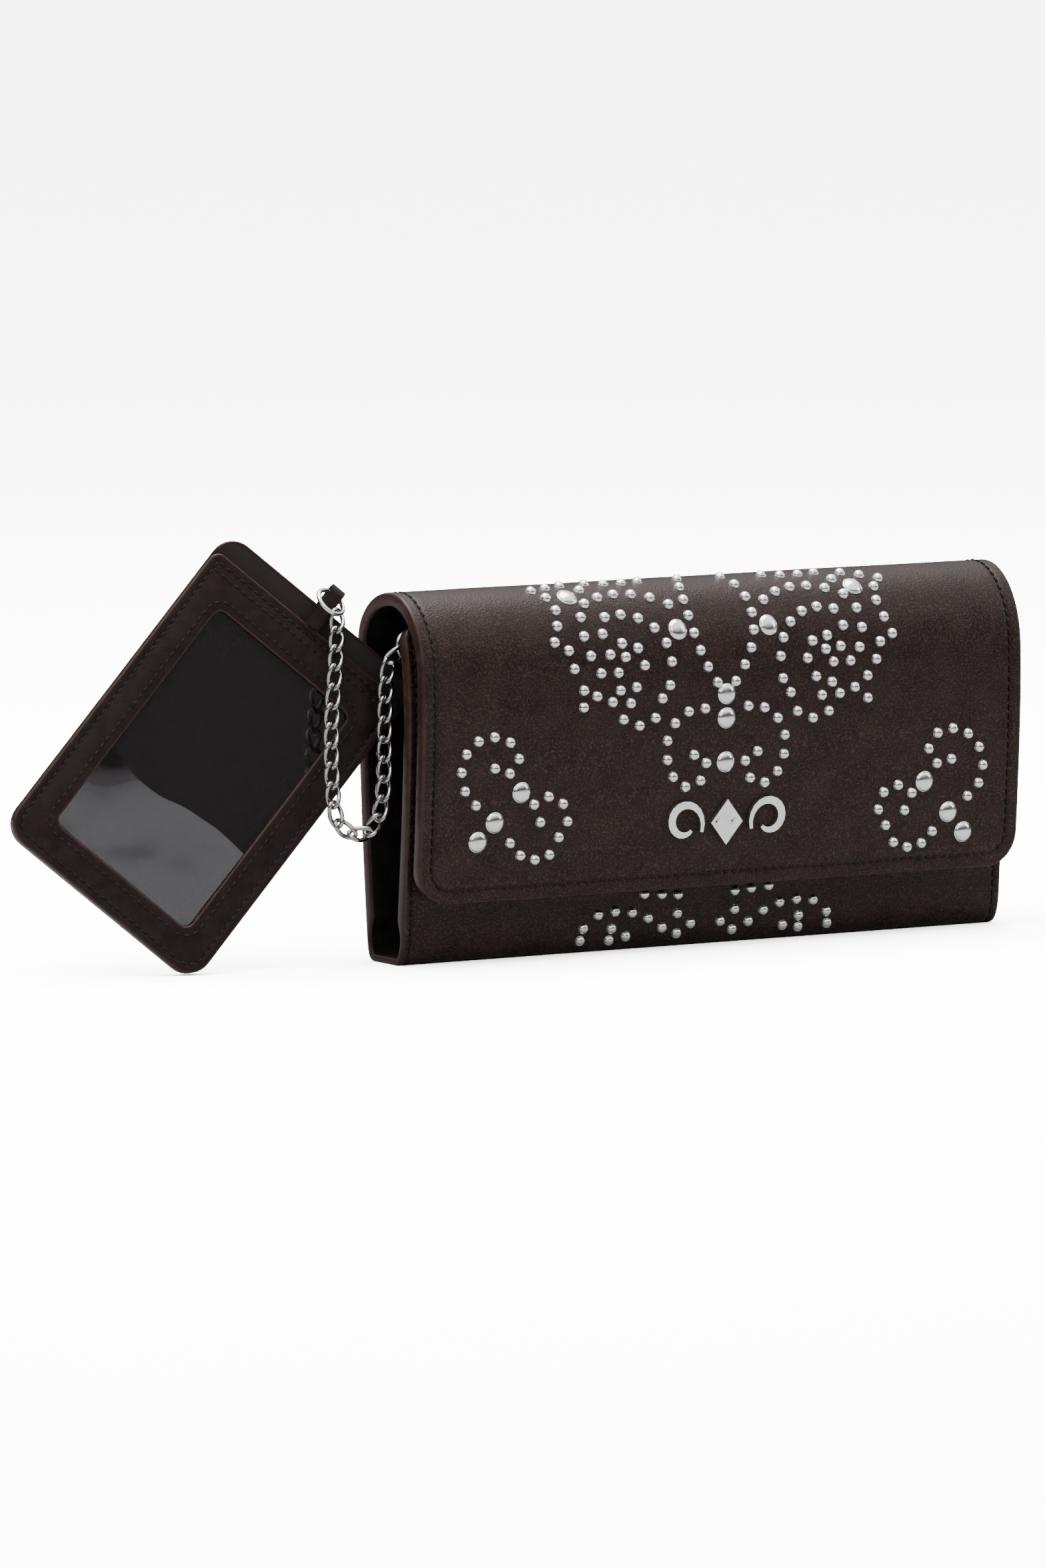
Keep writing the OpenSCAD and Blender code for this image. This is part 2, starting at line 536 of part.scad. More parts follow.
// Strip round three edges that leaves room for a card between the lining and the window
module holder_welt() {
    color(holder_leather) placed() difference() {
        holder_slab(-holder_t / 2 + holder_leather_t, holder_t / 2 - holder_leather_t - 0.5,
            holder_l - front_lip, 3);
        slab(plate(-holder_w / 2 + 5, holder_w / 2 - 5, 5, holder_l + 5, 4, 4), -holder_t, holder_t);
    }
}
module holder_window() {
    color(clear_sheet) placed() window_slab(window_margin - 3, -holder_t / 2 + holder_leather_t,
        -holder_t / 2 + holder_leather_t + sheet_t, 4);
}
module holder_front_frame() {
    color(holder_leather) placed() difference() {
        holder_slab(-holder_t / 2, -holder_t / 2 + holder_leather_t, holder_l - front_lip, 3);
        window_slab(window_margin, -holder_t, 0, 2.5);
    }
}

back_outer();
back_board();
back_lining();
bottom_fold_outer();
bottom_fold_lining();
fold_small_studs();
spine_outer();
spine_board();
spine_lining();
spine_small_studs();
spine_large_studs();
flap_outer();
flap_board();
flap_lining();
flap_small_studs();
flap_large_studs();
flap_ornament();
ornament_rivets();
snap_stud();
snap_stud_washer();
front_outer();
front_board();
front_lining();
front_small_studs();
card_slot_layers();
card_slot_divider();
snap_socket();
snap_socket_washer();
pocket_front_wall();
pocket_back_wall();
pocket_gusset();
zip_tape_upper();
zip_tape_lower();
zip_teeth_upper();
zip_teeth_lower();
zip_stops();
zip_slider();
zip_pull();
wallet_ring_tab();
wallet_ring_tab_rivet();
wallet_ring();
chain_flat_links();
chain_edge_links();
holder_ring();
holder_ring_tab();
holder_ring_tab_rivet();
holder_back();
holder_lining();
holder_welt();
holder_window();
holder_front_frame();
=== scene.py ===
"""A long flap wallet in dark mottled leather, studded and stitched, with a card holder on a chain."""
import math

import bmesh
import bpy
from mathutils import Matrix, Vector, noise


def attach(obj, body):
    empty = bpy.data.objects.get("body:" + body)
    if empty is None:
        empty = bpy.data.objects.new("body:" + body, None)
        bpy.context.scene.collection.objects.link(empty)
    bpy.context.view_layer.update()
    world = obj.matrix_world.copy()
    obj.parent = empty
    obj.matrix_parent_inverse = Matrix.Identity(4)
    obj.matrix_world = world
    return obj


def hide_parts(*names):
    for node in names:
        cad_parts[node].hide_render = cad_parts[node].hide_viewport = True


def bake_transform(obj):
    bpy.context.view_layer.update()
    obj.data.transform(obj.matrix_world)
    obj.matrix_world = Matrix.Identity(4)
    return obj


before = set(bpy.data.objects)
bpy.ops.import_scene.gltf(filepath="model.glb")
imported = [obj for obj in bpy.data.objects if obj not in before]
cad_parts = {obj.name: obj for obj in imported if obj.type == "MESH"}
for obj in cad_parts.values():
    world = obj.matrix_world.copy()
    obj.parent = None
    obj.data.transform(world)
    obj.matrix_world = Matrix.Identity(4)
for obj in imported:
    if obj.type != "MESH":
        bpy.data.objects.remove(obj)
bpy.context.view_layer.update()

# Camera and studio. A long lens looks at the wallet from its front left and a little above. One wide
# light hangs overhead, and two small ones stand at the front left and at the right.
view_turn = math.radians(31.5)
view_drop = math.radians(6.2)
view_centre = Vector((-0.0633, -0.0156, 0.0495))
view_distance = 3.6
ahead = Vector((math.sin(view_turn) * math.cos(view_drop), math.cos(view_turn) * math.cos(view_drop),
                -math.sin(view_drop)))
camera_data = bpy.data.cameras.new("camera")
camera_data.lens = 298
camera_data.clip_end = 200
camera = bpy.data.objects.new("camera", camera_data)
camera.location = view_centre - ahead * view_distance
camera.rotation_euler = ahead.to_track_quat("-Z", "Y").to_euler()
bpy.context.scene.collection.objects.link(camera)
bpy.context.scene.camera = camera

# The floor is white paper. It is shown to the camera far brighter than it lights the object, and
# reflections see it darker, as if dark cards stood round the set.
floor_half = 60
floor_mesh = bpy.data.meshes.new("floor")
floor_mesh.from_pydata([(-floor_half, -floor_half, 0), (floor_half, -floor_half, 0),
                        (floor_half, floor_half, 0), (-floor_half, floor_half, 0)], [], [(0, 1, 2, 3)])
floor = bpy.data.objects.new("floor", floor_mesh)
bpy.context.scene.collection.objects.link(floor)
floor_paper = bpy.data.materials.new("floor_paper")
floor_paper.use_nodes = True
floor_nodes = floor_paper.node_tree.nodes
floor_shader = floor_nodes["Principled BSDF"]
floor_shader.inputs["Roughness"].default_value = 0.9
floor_shader.inputs["Specular IOR Level"].default_value = 0.1
floor_ray = floor_nodes.new("ShaderNodeLightPath")
floor_tone = floor_nodes.new("ShaderNodeMix")
floor_tone.data_type = "RGBA"
floor_tone.inputs["A"].default_value = (0.9, 0.9, 0.9, 1)
floor_tone.inputs["B"].default_value = (0.38, 0.38, 0.39, 1)
floor_seen = floor_nodes.new("ShaderNodeBsdfDiffuse")
floor_seen.inputs["Color"].default_value = (4.8, 4.8, 4.8, 1)
floor_mix = floor_nodes.new("ShaderNodeMixShader")
floor_links = floor_paper.node_tree.links
floor_links.new(floor_ray.outputs["Is Glossy Ray"], floor_tone.inputs["Factor"])
floor_links.new(floor_tone.outputs["Result"], floor_shader.inputs["Base Color"])
floor_links.new(floor_ray.outputs["Is Camera Ray"], floor_mix.inputs["Fac"])
floor_links.new(floor_shader.outputs["BSDF"], floor_mix.inputs[1])
floor_links.new(floor_seen.outputs["BSDF"], floor_mix.inputs[2])
floor_links.new(floor_mix.outputs["Shader"], floor_nodes["Material Output"].inputs["Surface"])
floor_mesh.materials.append(floor_paper)

# The room is bright above and dark at the sides, so upright leather stays dark and the roll shines.
studio = bpy.data.worlds.new("studio")
studio.use_nodes = True
studio_nodes = studio.node_tree.nodes
sky_way = studio_nodes.new("ShaderNodeTexCoord")
sky_parts = studio_nodes.new("ShaderNodeSeparateXYZ")
sky_height = studio_nodes.new("ShaderNodeMapRange")
sky_height.interpolation_type = "SMOOTHSTEP"
sky_height.inputs["From Min"].default_value = 0.15
sky_height.inputs["From Max"].default_value = 0.8
sky_height.inputs["To Min"].default_value = 0.06
sky_height.inputs["To Max"].default_value = 1.9
studio.node_tree.links.new(sky_way.outputs["Generated"], sky_parts.inputs[0])
studio.node_tree.links.new(sky_parts.outputs["Z"], sky_height.inputs["Value"])
studio.node_tree.links.new(sky_height.outputs["Result"], studio_nodes["Background"].inputs["Strength"])
studio_nodes["Background"].inputs["Color"].default_value = (1, 1, 1, 1)
bpy.context.scene.world = studio


def softbox(name, place, aim, size, power):
    light = bpy.data.lights.new(name, "AREA")
    light.shape = "RECTANGLE"
    light.size, light.size_y = size
    light.energy = power
    box = bpy.data.objects.new(name, light)
    box.location = place
    box.rotation_euler = (Vector(aim) - Vector(place)).to_track_quat("-Z", "Y").to_euler()
    bpy.context.scene.collection.objects.link(box)


softbox("overhead", (-0.1, 0.1, 1.3), (-0.05, 0, 0.05), (1.4, 0.9), 36)
softbox("front_left", (-1.1, -1.2, 0.9), (-0.05, 0, 0.05), (0.7, 0.7), 5)
softbox("right_side", (1.3, -0.7, 0.7), (0, 0, 0.05), (0.5, 0.8), 4)

# The wrap: one long piece of mottled brown leather glued over board and lining. It runs from the
# flap over the roll, down the back, under the wallet and up the front. The cut sides are
# sanded round, painted brown and sewn. It is made in lengths that meet behind and below.
MM = 0.001
half_w = 99
panel_t = 3.8
fold_t = 2.0
board_start_z = 7
board_taper = 6
roll_middle_y = -3.5
top_z = 103.5
broad_swell = 0.15
fine_swell = 0.05
edge_r = 0.8
flap_corner_r = 10
front_corner_r = 6
side_seam_in = 4.0
front_seam_in = 2.5
stitch_pitch = 2.7
groove_depth = 0.34
groove_pulse = 0.16
groove_width = 0.5
station_gap = 0.9
cut_zone = 9
side_zone = 14


def bezier(a, b, c, d, count):
    """Points on a curve from a to d, without its last point."""
    points = []
    for i in range(count):
        t = i / count
        u = 1 - t
        points.append(tuple(u ** 3 * p + 3 * u * u * t * q + 3 * u * t * t * r + t ** 3 * s
                            for p, q, r, s in zip(a, b, c, d)))
    return points


def roll(angle, half_d, low_z):
    """A point (y, z) on the roll over the top, from the back at 0 to the front at 180 degrees."""
    a = math.radians(angle)
    return (roll_middle_y + half_d * math.cos(a), low_z + (top_z - low_z) * math.sin(a))


class Line:
    """A line of points, walked by distance from its first. A skin is one: the side outline of the
    outer leather in y and z."""

    def __init__(self, points):
        self.points = [Vector(p) for p in points]
        self.marks = [0.0]
        for a, b in zip(self.points, self.points[1:]):
            self.marks.append(self.marks[-1] + (b - a).length)
        self.length = self.marks[-1]

    def at(self, s):
        k = 1
        while k < len(self.marks) - 1 and self.marks[k] < s:
            k += 1
        f = (s - self.marks[k - 1]) / (self.marks[k] - self.marks[k - 1])
        return self.points[k - 1].lerp(self.points[k], f)

    def outward(self, s):
        """On a skin, the way out of the leather: left of a walk from the flap's end upwards."""
        reach = 0.8
        run = (self.at(s + reach) - self.at(s - reach)).normalized()
        return Vector((-run.y, run.x))


def in_space(skin, x, s, lift):
    """The place in metres that is x across and s along a skin, lifted off it by some millimetres."""
    p = skin.at(s) + skin.outward(s) * lift
    return Vector((x * MM, p.x * MM, p.y * MM))


flap_rise = bezier((-18.8, 17.5), (-21, 46), (-22, 66), (-21.6, 77.1), 40)
roll_front = [roll(a, 18, 80) for a in range(180, 90, -4)]
roll_back = [roll(a, 17.5, 89) for a in range(90, 0, -4)]
back_fall = bezier((14, 89), (14, 62), (12.4, 36), (9.8, 10), 40)
fold_back = bezier((9.8, 10), (9.2, 4), (9, 0), (6, 0), 14)
fold_front = bezier((-6, 0), (-9.8, 0), (-10.8, 6), (-11, 13), 14)
front_rise = bezier((-11, 13), (-15, 58), (-16, 86), (-9.6, 95.5), 44) + [(-9.6, 95.5)]
flap_skin = Line(flap_rise + roll_front + roll_back[:17])
roll_skin = Line(roll_back[16:] + back_fall[:10])
back_skin = Line(back_fall[9:] + fold_back + [(6, 0), (3, 0), (0, 0)])
front_skin = Line([(0, 0), (-3, 0)] + fold_front + front_rise)


def swell(x, z):
    """How far the soft leather stands proud or sinks, in mm. It lies flat where the wallet rests."""
    lifted = min(max(z - 1, 0) / 8, 1)
    broad = broad_swell * noise.noise(Vector((x / 31, z / 24, 1.7)))
    fine = fine_swell * noise.noise(Vector((x / 9, z / 8, 4.2)))
    return lifted * (broad + fine)


def wall(z):
    """Leather and lining alone under the wallet, with board between them above."""
    t = min(max((z - board_start_z) / board_taper, 0), 1)
    return fold_t + (panel_t - fold_t) * t * t * (3 - 2 * t)


def inside_edge(x, from_end, corner_r):
    """Distance from a panel's edge, round its corner."""
    across = half_w - abs(x)
    if across < corner_r and from_end < corner_r:
        return corner_r - math.hypot(corner_r - across, corner_r - from_end)
    return min(across, from_end)


def keep(bm, name, *finishes):
    """Turns a built shell into an object with its finishes, its faces turned outwards."""
    bmesh.ops.recalc_face_normals(bm, faces=bm.faces)
    mesh = bpy.data.meshes.new(name)
    bm.to_mesh(mesh)
    bm.free()
    for finish in finishes:
        mesh.materials.append(finish)
    piece = bpy.data.objects.new(name, mesh)
    bpy.context.scene.collection.objects.link(piece)
    return piece


def wrap(name, skin, seam_in, starts=False, ends=False, corner_r=0.01):
    """A length of the wrap as one closed shell. A cut end is rounded, painted and sewn too."""
    near = [0, 0.1, 0.25, 0.5, 0.8, 1.6, 2.2, 2.6, 3.2, 3.6, 4.0, 4.4, 4.8, 5.6, 7, 8.5]
    steps = int(skin.length / station_gap)
    stations = [skin.length * i / steps for i in range(steps + 1)]
    if starts:
        stations = near + [s for s in stations if s > cut_zone]
    if ends:
        stations = [s for s in stations if s < skin.length - cut_zone]
        stations += [skin.length - n for n in reversed(near)]
    columns = [edge_r, 1.2, 1.7, 2.1, 2.5, 2.9, 3.3, 3.6, 4.0, 4.4, 4.8, 5.6, 7, 10, side_zone]
    flat = [i / 15 for i in range(-14, 15)]
    bm = bmesh.new()
    rings = []
    for s in stations:
        out = skin.outward(s)
        centre = skin.at(s)
        t = wall(centre.y)
        from_end = min(s if starts else 1e3, skin.length - s if ends else 1e3)
        inset = 0
        if from_end < edge_r:
            inset = edge_r - math.sqrt(edge_r ** 2 - (edge_r - from_end) ** 2)
        w = half_w
        if from_end < corner_r:
            w = half_w - corner_r + math.sqrt(corner_r ** 2 - (corner_r - from_end) ** 2)
        xs = [-w + c for c in columns] + [f * (w - side_zone) for f in flat]
        xs += [w - c for c in reversed(columns)]
        pull = groove_depth + groove_pulse * math.cos(2 * math.pi * s / stitch_pitch)
        outline = []
        for x in xs:
            off_seam = inside_edge(x, from_end, corner_r) - seam_in
            dip = pull * math.exp(-(off_seam / groove_width) ** 2)
            outline.append((x, swell(x, centre.y) - inset - dip, 0))
        half_t = max(t / 2 - inset, 0.2)
        r = min(edge_r, half_t)
        bulge = swell(w, centre.y) - t / 2
        for base, turn in ((1, 60), (1, 30), (1, 0), (-1, 0), (-1, -30), (-1, -60)):
            a = math.radians(turn)
            outline.append((w - r + r * math.cos(a), bulge + base * (half_t - r) + r * math.sin(a), 1))
        for x in reversed(xs):
            outline.append((x, swell(x, centre.y) - t + inset, 2))
        bulge = swell(-w, centre.y) - t / 2
        for base, turn in ((-1, -60), (-1, -30), (-1, 0), (1, 0), (1, 30), (1, 60)):
            a = math.radians(turn)
            outline.append((-w + r - r * math.cos(a), bulge + base * (half_t - r) + r * math.sin(a), 1))
        ring = []
        for x, lift, kind in outline:
            p = centre + out * lift
            ring.append((bm.verts.new((x * MM, p.x * MM, p.y * MM)), kind))
        rings.append(ring)
    for a, b, s in zip(rings, rings[1:], stations):
        painted = (starts and s < 0.5) or (ends and s > skin.length - 0.81)
        for k in range(len(a)):
            q = (k + 1) % len(a)
            face = bm.faces.new((a[k][0], a[q][0], b[q][0], b[k][0]))
            face.material_index = 1 if painted or 1 in (a[k][1], a[q][1]) else a[k][1]
            face.smooth = True
    for ring, cut in ((rings[0], starts), (rings[-1], ends)):
        face = bm.faces.new([v for v, kind in ring])
        face.material_index = 1
        for edge in face.edges:
            edge.smooth = cut
    return keep(bm, name, wallet_leather, painted_edge, lining_leather)


def node(tree, kind, **settings):
    made = tree.nodes.new(kind)
    for key, value in settings.items():
        setattr(made, key, value)
    return made


def join(tree, *pairs):
    for source, target in pairs:
        tree.links.new(source, target)


def new_finish(name):
    """A new material, with its node tree and its shader."""
    made = bpy.data.materials.new(name)
    made.use_nodes = True
    return made, made.node_tree, made.node_tree.nodes["Principled BSDF"]


def make_grain():
    """Leather grain: soft mottling, pale flecks where the finish has cracked, and a pebbled height."""
    tree = bpy.data.node_groups.new("leather_grain", "ShaderNodeTree")
    for label, value in (("Mottle Scale", 160), ("Fleck Scale", 900), ("Fleck Amount", 0.5)):
        tree.interface.new_socket(label, in_out="INPUT", socket_type="NodeSocketFloat").default_value = value
    for label in ("Mottle", "Flecks", "Height"):
        tree.interface.new_socket(label, in_out="OUTPUT", socket_type="NodeSocketFloat")
    given = node(tree, "NodeGroupInput")
    result = node(tree, "NodeGroupOutput")
    place = node(tree, "ShaderNodeTexCoord")
    mottle = node(tree, "ShaderNodeTexNoise")
    mottle.inputs["Detail"].default_value = 4
    flecks = node(tree, "ShaderNodeTexNoise")
    flecks.inputs["Detail"].default_value = 5
    flecks.inputs["Roughness"].default_value = 0.65
    cut = node(tree, "ShaderNodeMapRange")
    cut.inputs["From Min"].default_value = 0.5
    cut.inputs["From Max"].default_value = 0.72
    scaled = node(tree, "ShaderNodeMath", operation="MULTIPLY")
    pebble = node(tree, "ShaderNodeTexVoronoi", feature="SMOOTH_F1")
    pebble.inputs["Smoothness"].default_value = 0.6
    total = node(tree, "ShaderNodeMath", operation="MULTIPLY_ADD")
    total.inputs[1].default_value = 0.6
    join(tree, (place.outputs["Object"], mottle.inputs["Vector"]),
         (place.outputs["Object"], flecks.inputs["Vector"]),
         (place.outputs["Object"], pebble.inputs["Vector"]),
         (given.outputs["Mottle Scale"], mottle.inputs["Scale"]),
         (given.outputs["Fleck Scale"], flecks.inputs["Scale"]),
         (given.outputs["Fleck Scale"], pebble.inputs["Scale"]),
         (flecks.outputs["Fac"], cut.inputs["Value"]), (cut.outputs["Result"], scaled.inputs[0]),
         (given.outputs["Fleck Amount"], scaled.inputs[1]), (pebble.outputs["Distance"], total.inputs[0]),
         (mottle.outputs["Fac"], total.inputs[2]), (mottle.outputs["Fac"], result.inputs["Mottle"]),
         (scaled.outputs[0], result.inputs["Flecks"]), (total.outputs[0], result.inputs["Height"]))
    return tree


leather_grain = make_grain()


def leather(name, dark, light, fleck, rough, mottle_scale, fleck_scale, fleck_amount, depth):
    """A leather finish: two tones mottled together, flecked, with grain in its height."""
    made, tree, shader = new_finish(name)
    shader.inputs["Specular IOR Level"].default_value = 0.22
    shader.inputs["Specular Tint"].default_value = (1, 0.86, 0.83, 1)
    grain = node(tree, "ShaderNodeGroup", node_tree=leather_grain)
    grain.inputs["Mottle Scale"].default_value = mottle_scale
    grain.inputs["Fleck Scale"].default_value = fleck_scale
    grain.inputs["Fleck Amount"].default_value = fleck_amount
    tones = node(tree, "ShaderNodeMix", data_type="RGBA")
    tones.inputs["A"].default_value = (*dark, 1)
    tones.inputs["B"].default_value = (*light, 1)
    flecked = node(tree, "ShaderNodeMix", data_type="RGBA")
    flecked.inputs["B"].default_value = (*fleck, 1)
    spread = node(tree, "ShaderNodeMapRange")
    spread.inputs["From Min"].default_value = 0.35
    spread.inputs["From Max"].default_value = 0.68
    matt = node(tree, "ShaderNodeMapRange")
    matt.inputs["To Min"].default_value = rough - 0.07
    matt.inputs["To Max"].default_value = rough + 0.1
    bump = node(tree, "ShaderNodeBump")
    bump.inputs["Strength"].default_value = 0.8
    bump.inputs["Distance"].default_value = depth
    join(tree, (grain.outputs["Mottle"], spread.inputs["Value"]),
         (spread.outputs["Result"], tones.inputs["Factor"]),
         (tones.outputs["Result"], flecked.inputs["A"]), (grain.outputs["Flecks"], flecked.inputs["Factor"]),
         (flecked.outputs["Result"], shader.inputs["Base Color"]),
         (grain.outputs["Mottle"], matt.inputs["Value"]),
         (matt.outputs["Result"], shader.inputs["Roughness"]),
         (grain.outputs["Height"], bump.inputs["Height"]), (bump.outputs["Normal"], shader.inputs["Normal"]))
    return made


wallet_leather = leather("wallet_leather", dark=(0.0044, 0.0015, 0.0011), light=(0.0105, 0.0043, 0.0034),
                         fleck=(0.07, 0.046, 0.038), rough=0.42, mottle_scale=130, fleck_scale=1900,
                         fleck_amount=0.55, depth=0.0002)
painted_edge = leather("painted_edge", dark=(0.014, 0.0062, 0.005), light=(0.025, 0.0115, 0.0095),
                       fleck=(0.045, 0.026, 0.021), rough=0.32, mottle_scale=260, fleck_scale=2600,
                       fleck_amount=0.15, depth=0.00003)
lining_leather = leather("lining_leather", dark=(0.0022, 0.0015, 0.0015), light=(0.005, 0.0036, 0.0036),
                         fleck=(0.014, 0.011, 0.011), rough=0.55, mottle_scale=200, fleck_scale=2200,
                         fleck_amount=0.3, depth=0.00006)
flap_leather = wrap("flap_leather", flap_skin, side_seam_in, starts=True, corner_r=flap_corner_r)
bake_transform(flap_leather)
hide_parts("flap_outer", "flap_board", "flap_lining", "spine_outer", "spine_board",
            "spine_lining")
roll_leather = wrap("roll_leather", roll_skin, side_seam_in)
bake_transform(roll_leather)
back_leather = wrap("back_leather", back_skin, side_seam_in)
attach(back_leather, "wallet")
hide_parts("back_outer", "back_board", "back_lining", "bottom_fold_outer",
            "bottom_fold_lining")
front_leather = wrap("front_leather", front_skin, front_seam_in, ends=True, corner_r=front_corner_r)
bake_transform(front_leather)
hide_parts("front_outer", "front_board", "front_lining")

# Thread: waxed black polyester in a lock stitch along every edge of the wrap. Each stitch is a
# short sunk bead between two holes, so a row of them is set along a line on the leather.


def geometry_tree(name, numbers):
    """An empty tree that takes places, named sizes and a material, with its input and output nodes."""
    tree = bpy.data.node_groups.new(name, "GeometryNodeTree")
    tree.interface.new_socket("Places", in_out="INPUT", socket_type="NodeSocketGeometry")
    for label in numbers:
        tree.interface.new_socket(label, in_out="INPUT", socket_type="NodeSocketFloat")
    tree.interface.new_socket("Finish", in_out="INPUT", socket_type="NodeSocketMaterial")
    tree.interface.new_socket("Pieces", in_out="OUTPUT", socket_type="NodeSocketGeometry")
    return tree, node(tree, "NodeGroupInput"), node(tree, "NodeGroupOutput")


def set_at_places(tree, given, result, shape):
    """Ends a tree: the shape stands at each place, X along the place's run and Z out of the surface."""
    out = node(tree, "GeometryNodeInputNamedAttribute", data_type="FLOAT_VECTOR")
    out.inputs["Name"].default_value = "out"
    run = node(tree, "GeometryNodeInputNamedAttribute", data_type="FLOAT_VECTOR")
    run.inputs["Name"].default_value = "run"
    turn = node(tree, "FunctionNodeAxesToRotation", primary_axis="Z", secondary_axis="X")
    setter = node(tree, "GeometryNodeInstanceOnPoints")
    real = node(tree, "GeometryNodeRealizeInstances")
    smooth = node(tree, "GeometryNodeSetShadeSmooth")
    finish = node(tree, "GeometryNodeSetMaterial")
    join(tree, (out.outputs["Attribute"], turn.inputs["Primary Axis"]),
         (run.outputs["Attribute"], turn.inputs["Secondary Axis"]),
         (given.outputs["Places"], setter.inputs["Points"]), (shape, setter.inputs["Instance"]),
         (turn.outputs["Rotation"], setter.inputs["Rotation"]),
         (setter.outputs["Instances"], smooth.inputs["Geometry"]),
         (smooth.outputs["Geometry"], real.inputs["Geometry"]),
         (real.outputs["Geometry"], finish.inputs["Geometry"]),
         (given.outputs["Finish"], finish.inputs["Material"]),
         (finish.outputs["Geometry"], result.inputs["Pieces"]))


def set_row(name, tree, places, sizes, finish):
    """Runs a tree over places, each a point, its run and its way out, and keeps a plain mesh."""
    mesh = bpy.data.meshes.new(name + "_places")
    mesh.from_pydata([p for p, run, out in places], [], [])
    for label, k in (("run", 1), ("out", 2)):
        values = mesh.attributes.new(label, "FLOAT_VECTOR", "POINT").data
        for i, place in enumerate(places):
            values[i].vector = place[k]
    holder = bpy.data.objects.new(name + "_places", mesh)
    bpy.context.scene.collection.objects.link(holder)
    setter = holder.modifiers.new(name, "NODES")
    setter.node_group = tree
    for socket in tree.interface.items_tree:
        if socket.in_out == "INPUT" and socket.name in sizes:
            setter[socket.identifier] = float(sizes[socket.name])
        if socket.in_out == "INPUT" and socket.name == "Finish":
            setter[socket.identifier] = finish
    bpy.context.view_layer.update()
    evaluated = holder.evaluated_get(bpy.context.evaluated_depsgraph_get())
    plain = bpy.data.meshes.new_from_object(evaluated)
    plain.name = name
    bpy.data.objects.remove(holder)
    piece = bpy.data.objects.new(name, plain)
    bpy.context.scene.collection.objects.link(piece)
    return piece


def make_bead():
    tree, given, result = geometry_tree("thread_stitch", ("Length", "Width", "Height"))
    ball = node(tree, "GeometryNodeMeshUVSphere")
    ball.inputs["Segments"].default_value = 8
    ball.inputs["Rings"].default_value = 5
    ball.inputs["Radius"].default_value = 0.5
    size = node(tree, "ShaderNodeCombineXYZ")
    stretch = node(tree, "GeometryNodeTransform")
    join(tree, (given.outputs["Length"], size.inputs["X"]), (given.outputs["Width"], size.inputs["Y"]),
         (given.outputs["Height"], size.inputs["Z"]), (size.outputs[0], stretch.inputs["Scale"]),
         (ball.outputs["Mesh"], stretch.inputs["Geometry"]))
    set_at_places(tree, given, result, stretch.outputs["Geometry"])
    return tree


thread_stitch = make_bead()
thread = leather("thread", dark=(0.0015, 0.0012, 0.0012), light=(0.004, 0.0034, 0.0032),
                 fleck=(0.012, 0.01, 0.009), rough=0.5, mottle_scale=1500, fleck_scale=6000,
                 fleck_amount=0.4, depth=0.00003)
stitch_size = {"Length": 0.0023, "Width": 0.0008, "Height": 0.0007}
stitch_sink = 0.12
floor_sink = 0.36
floor_zone = 2


def along_line(line, pitch):
    """Points every pitch along a line of (x, s), each with the way on."""
    path = Line(line)
    count = int(path.length / pitch)
    return [(path.at((i + 0.5) * pitch), path.at((i + 0.6) * pitch)) for i in range(count)]


def corner(centre_x, centre_s, r, start, end):
    """Points round a seam's corner, from one angle to another."""
    angles = [math.radians(start + (end - start) * i / 8) for i in range(9)]
    return [(centre_x + r * math.cos(a), centre_s + r * math.sin(a)) for a in angles]


def sew(name, skin, line, body, low=-1e3, high=1e3):
    """A seam along a line of (x, s) on a skin, of the stitches whose s is between low and high. They
    are sunk deeper where the wallet rests, and so stay off the floor."""
    places = []
    for spot, onward in along_line(line, stitch_pitch):
        if low < spot.y < high:
            sunk = -floor_sink if skin.at(spot.y).y < floor_zone else -stitch_sink
            start = in_space(skin, spot.x, spot.y, sunk)
            run = in_space(skin, onward.x, onward.y, sunk) - start
            out = skin.outward(spot.y)
            places.append((start, run.normalized(), (0, out.x, out.y)))
    seam = set_row(name, thread_stitch, places, stitch_size, thread)
    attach(seam, body)


seam_x = half_w - side_seam_in
flap_turn_x = half_w - flap_corner_r
flap_seam_r = flap_corner_r - side_seam_in
flap_seam = ([(-seam_x, flap_skin.length), (-seam_x, flap_corner_r)]
             + corner(-flap_turn_x, flap_corner_r, flap_seam_r, 180, 270)
             + corner(flap_turn_x, flap_corner_r, flap_seam_r, -90, 0)
             + [(seam_x, flap_corner_r), (seam_x, flap_skin.length)])
fold_s = Line(flap_rise + [(-21.6, 77.1)]).length
sew("flap_stitches", flap_skin, flap_seam, "flap", high=fold_s)
sew("crest_stitches", flap_skin, flap_seam, "spine", low=fold_s)
back_fold_s = Line(roll_back[16:] + back_fall[:1]).length
for side, x in (("left", -seam_x), ("right", seam_x)):
    sides = [(x, 0), (x, roll_skin.length)]
    sew("roll_stitches_" + side, roll_skin, sides, "spine", high=back_fold_s)
    sew("shoulder_stitches_" + side, roll_skin, sides, "wallet", low=back_fold_s)
    sew("back_stitches_" + side, back_skin, [(x, 0), (x, back_skin.length)], "wallet")
front_fold_s = Line([(0, 0), (-3, 0)] + fold_front + front_rise[:1]).length
front_seam_x = half_w - front_seam_in
front_turn_x = half_w - front_corner_r
front_turn_s = front_skin.length - front_corner_r
front_seam_r = front_corner_r - front_seam_in
front_seam = ([(-front_seam_x, 0), (-front_seam_x, front_turn_s)]
              + corner(-front_turn_x, front_turn_s, front_seam_r, 180, 90)
              + corner(front_turn_x, front_turn_s, front_seam_r, 90, 0)
              + [(front_seam_x, front_turn_s), (front_seam_x, 0)])
sew("front_stitches", front_skin, front_seam, "front_panel", low=front_fold_s)
sew("bottom_stitches", front_skin, front_seam, "wallet", high=front_fold_s)

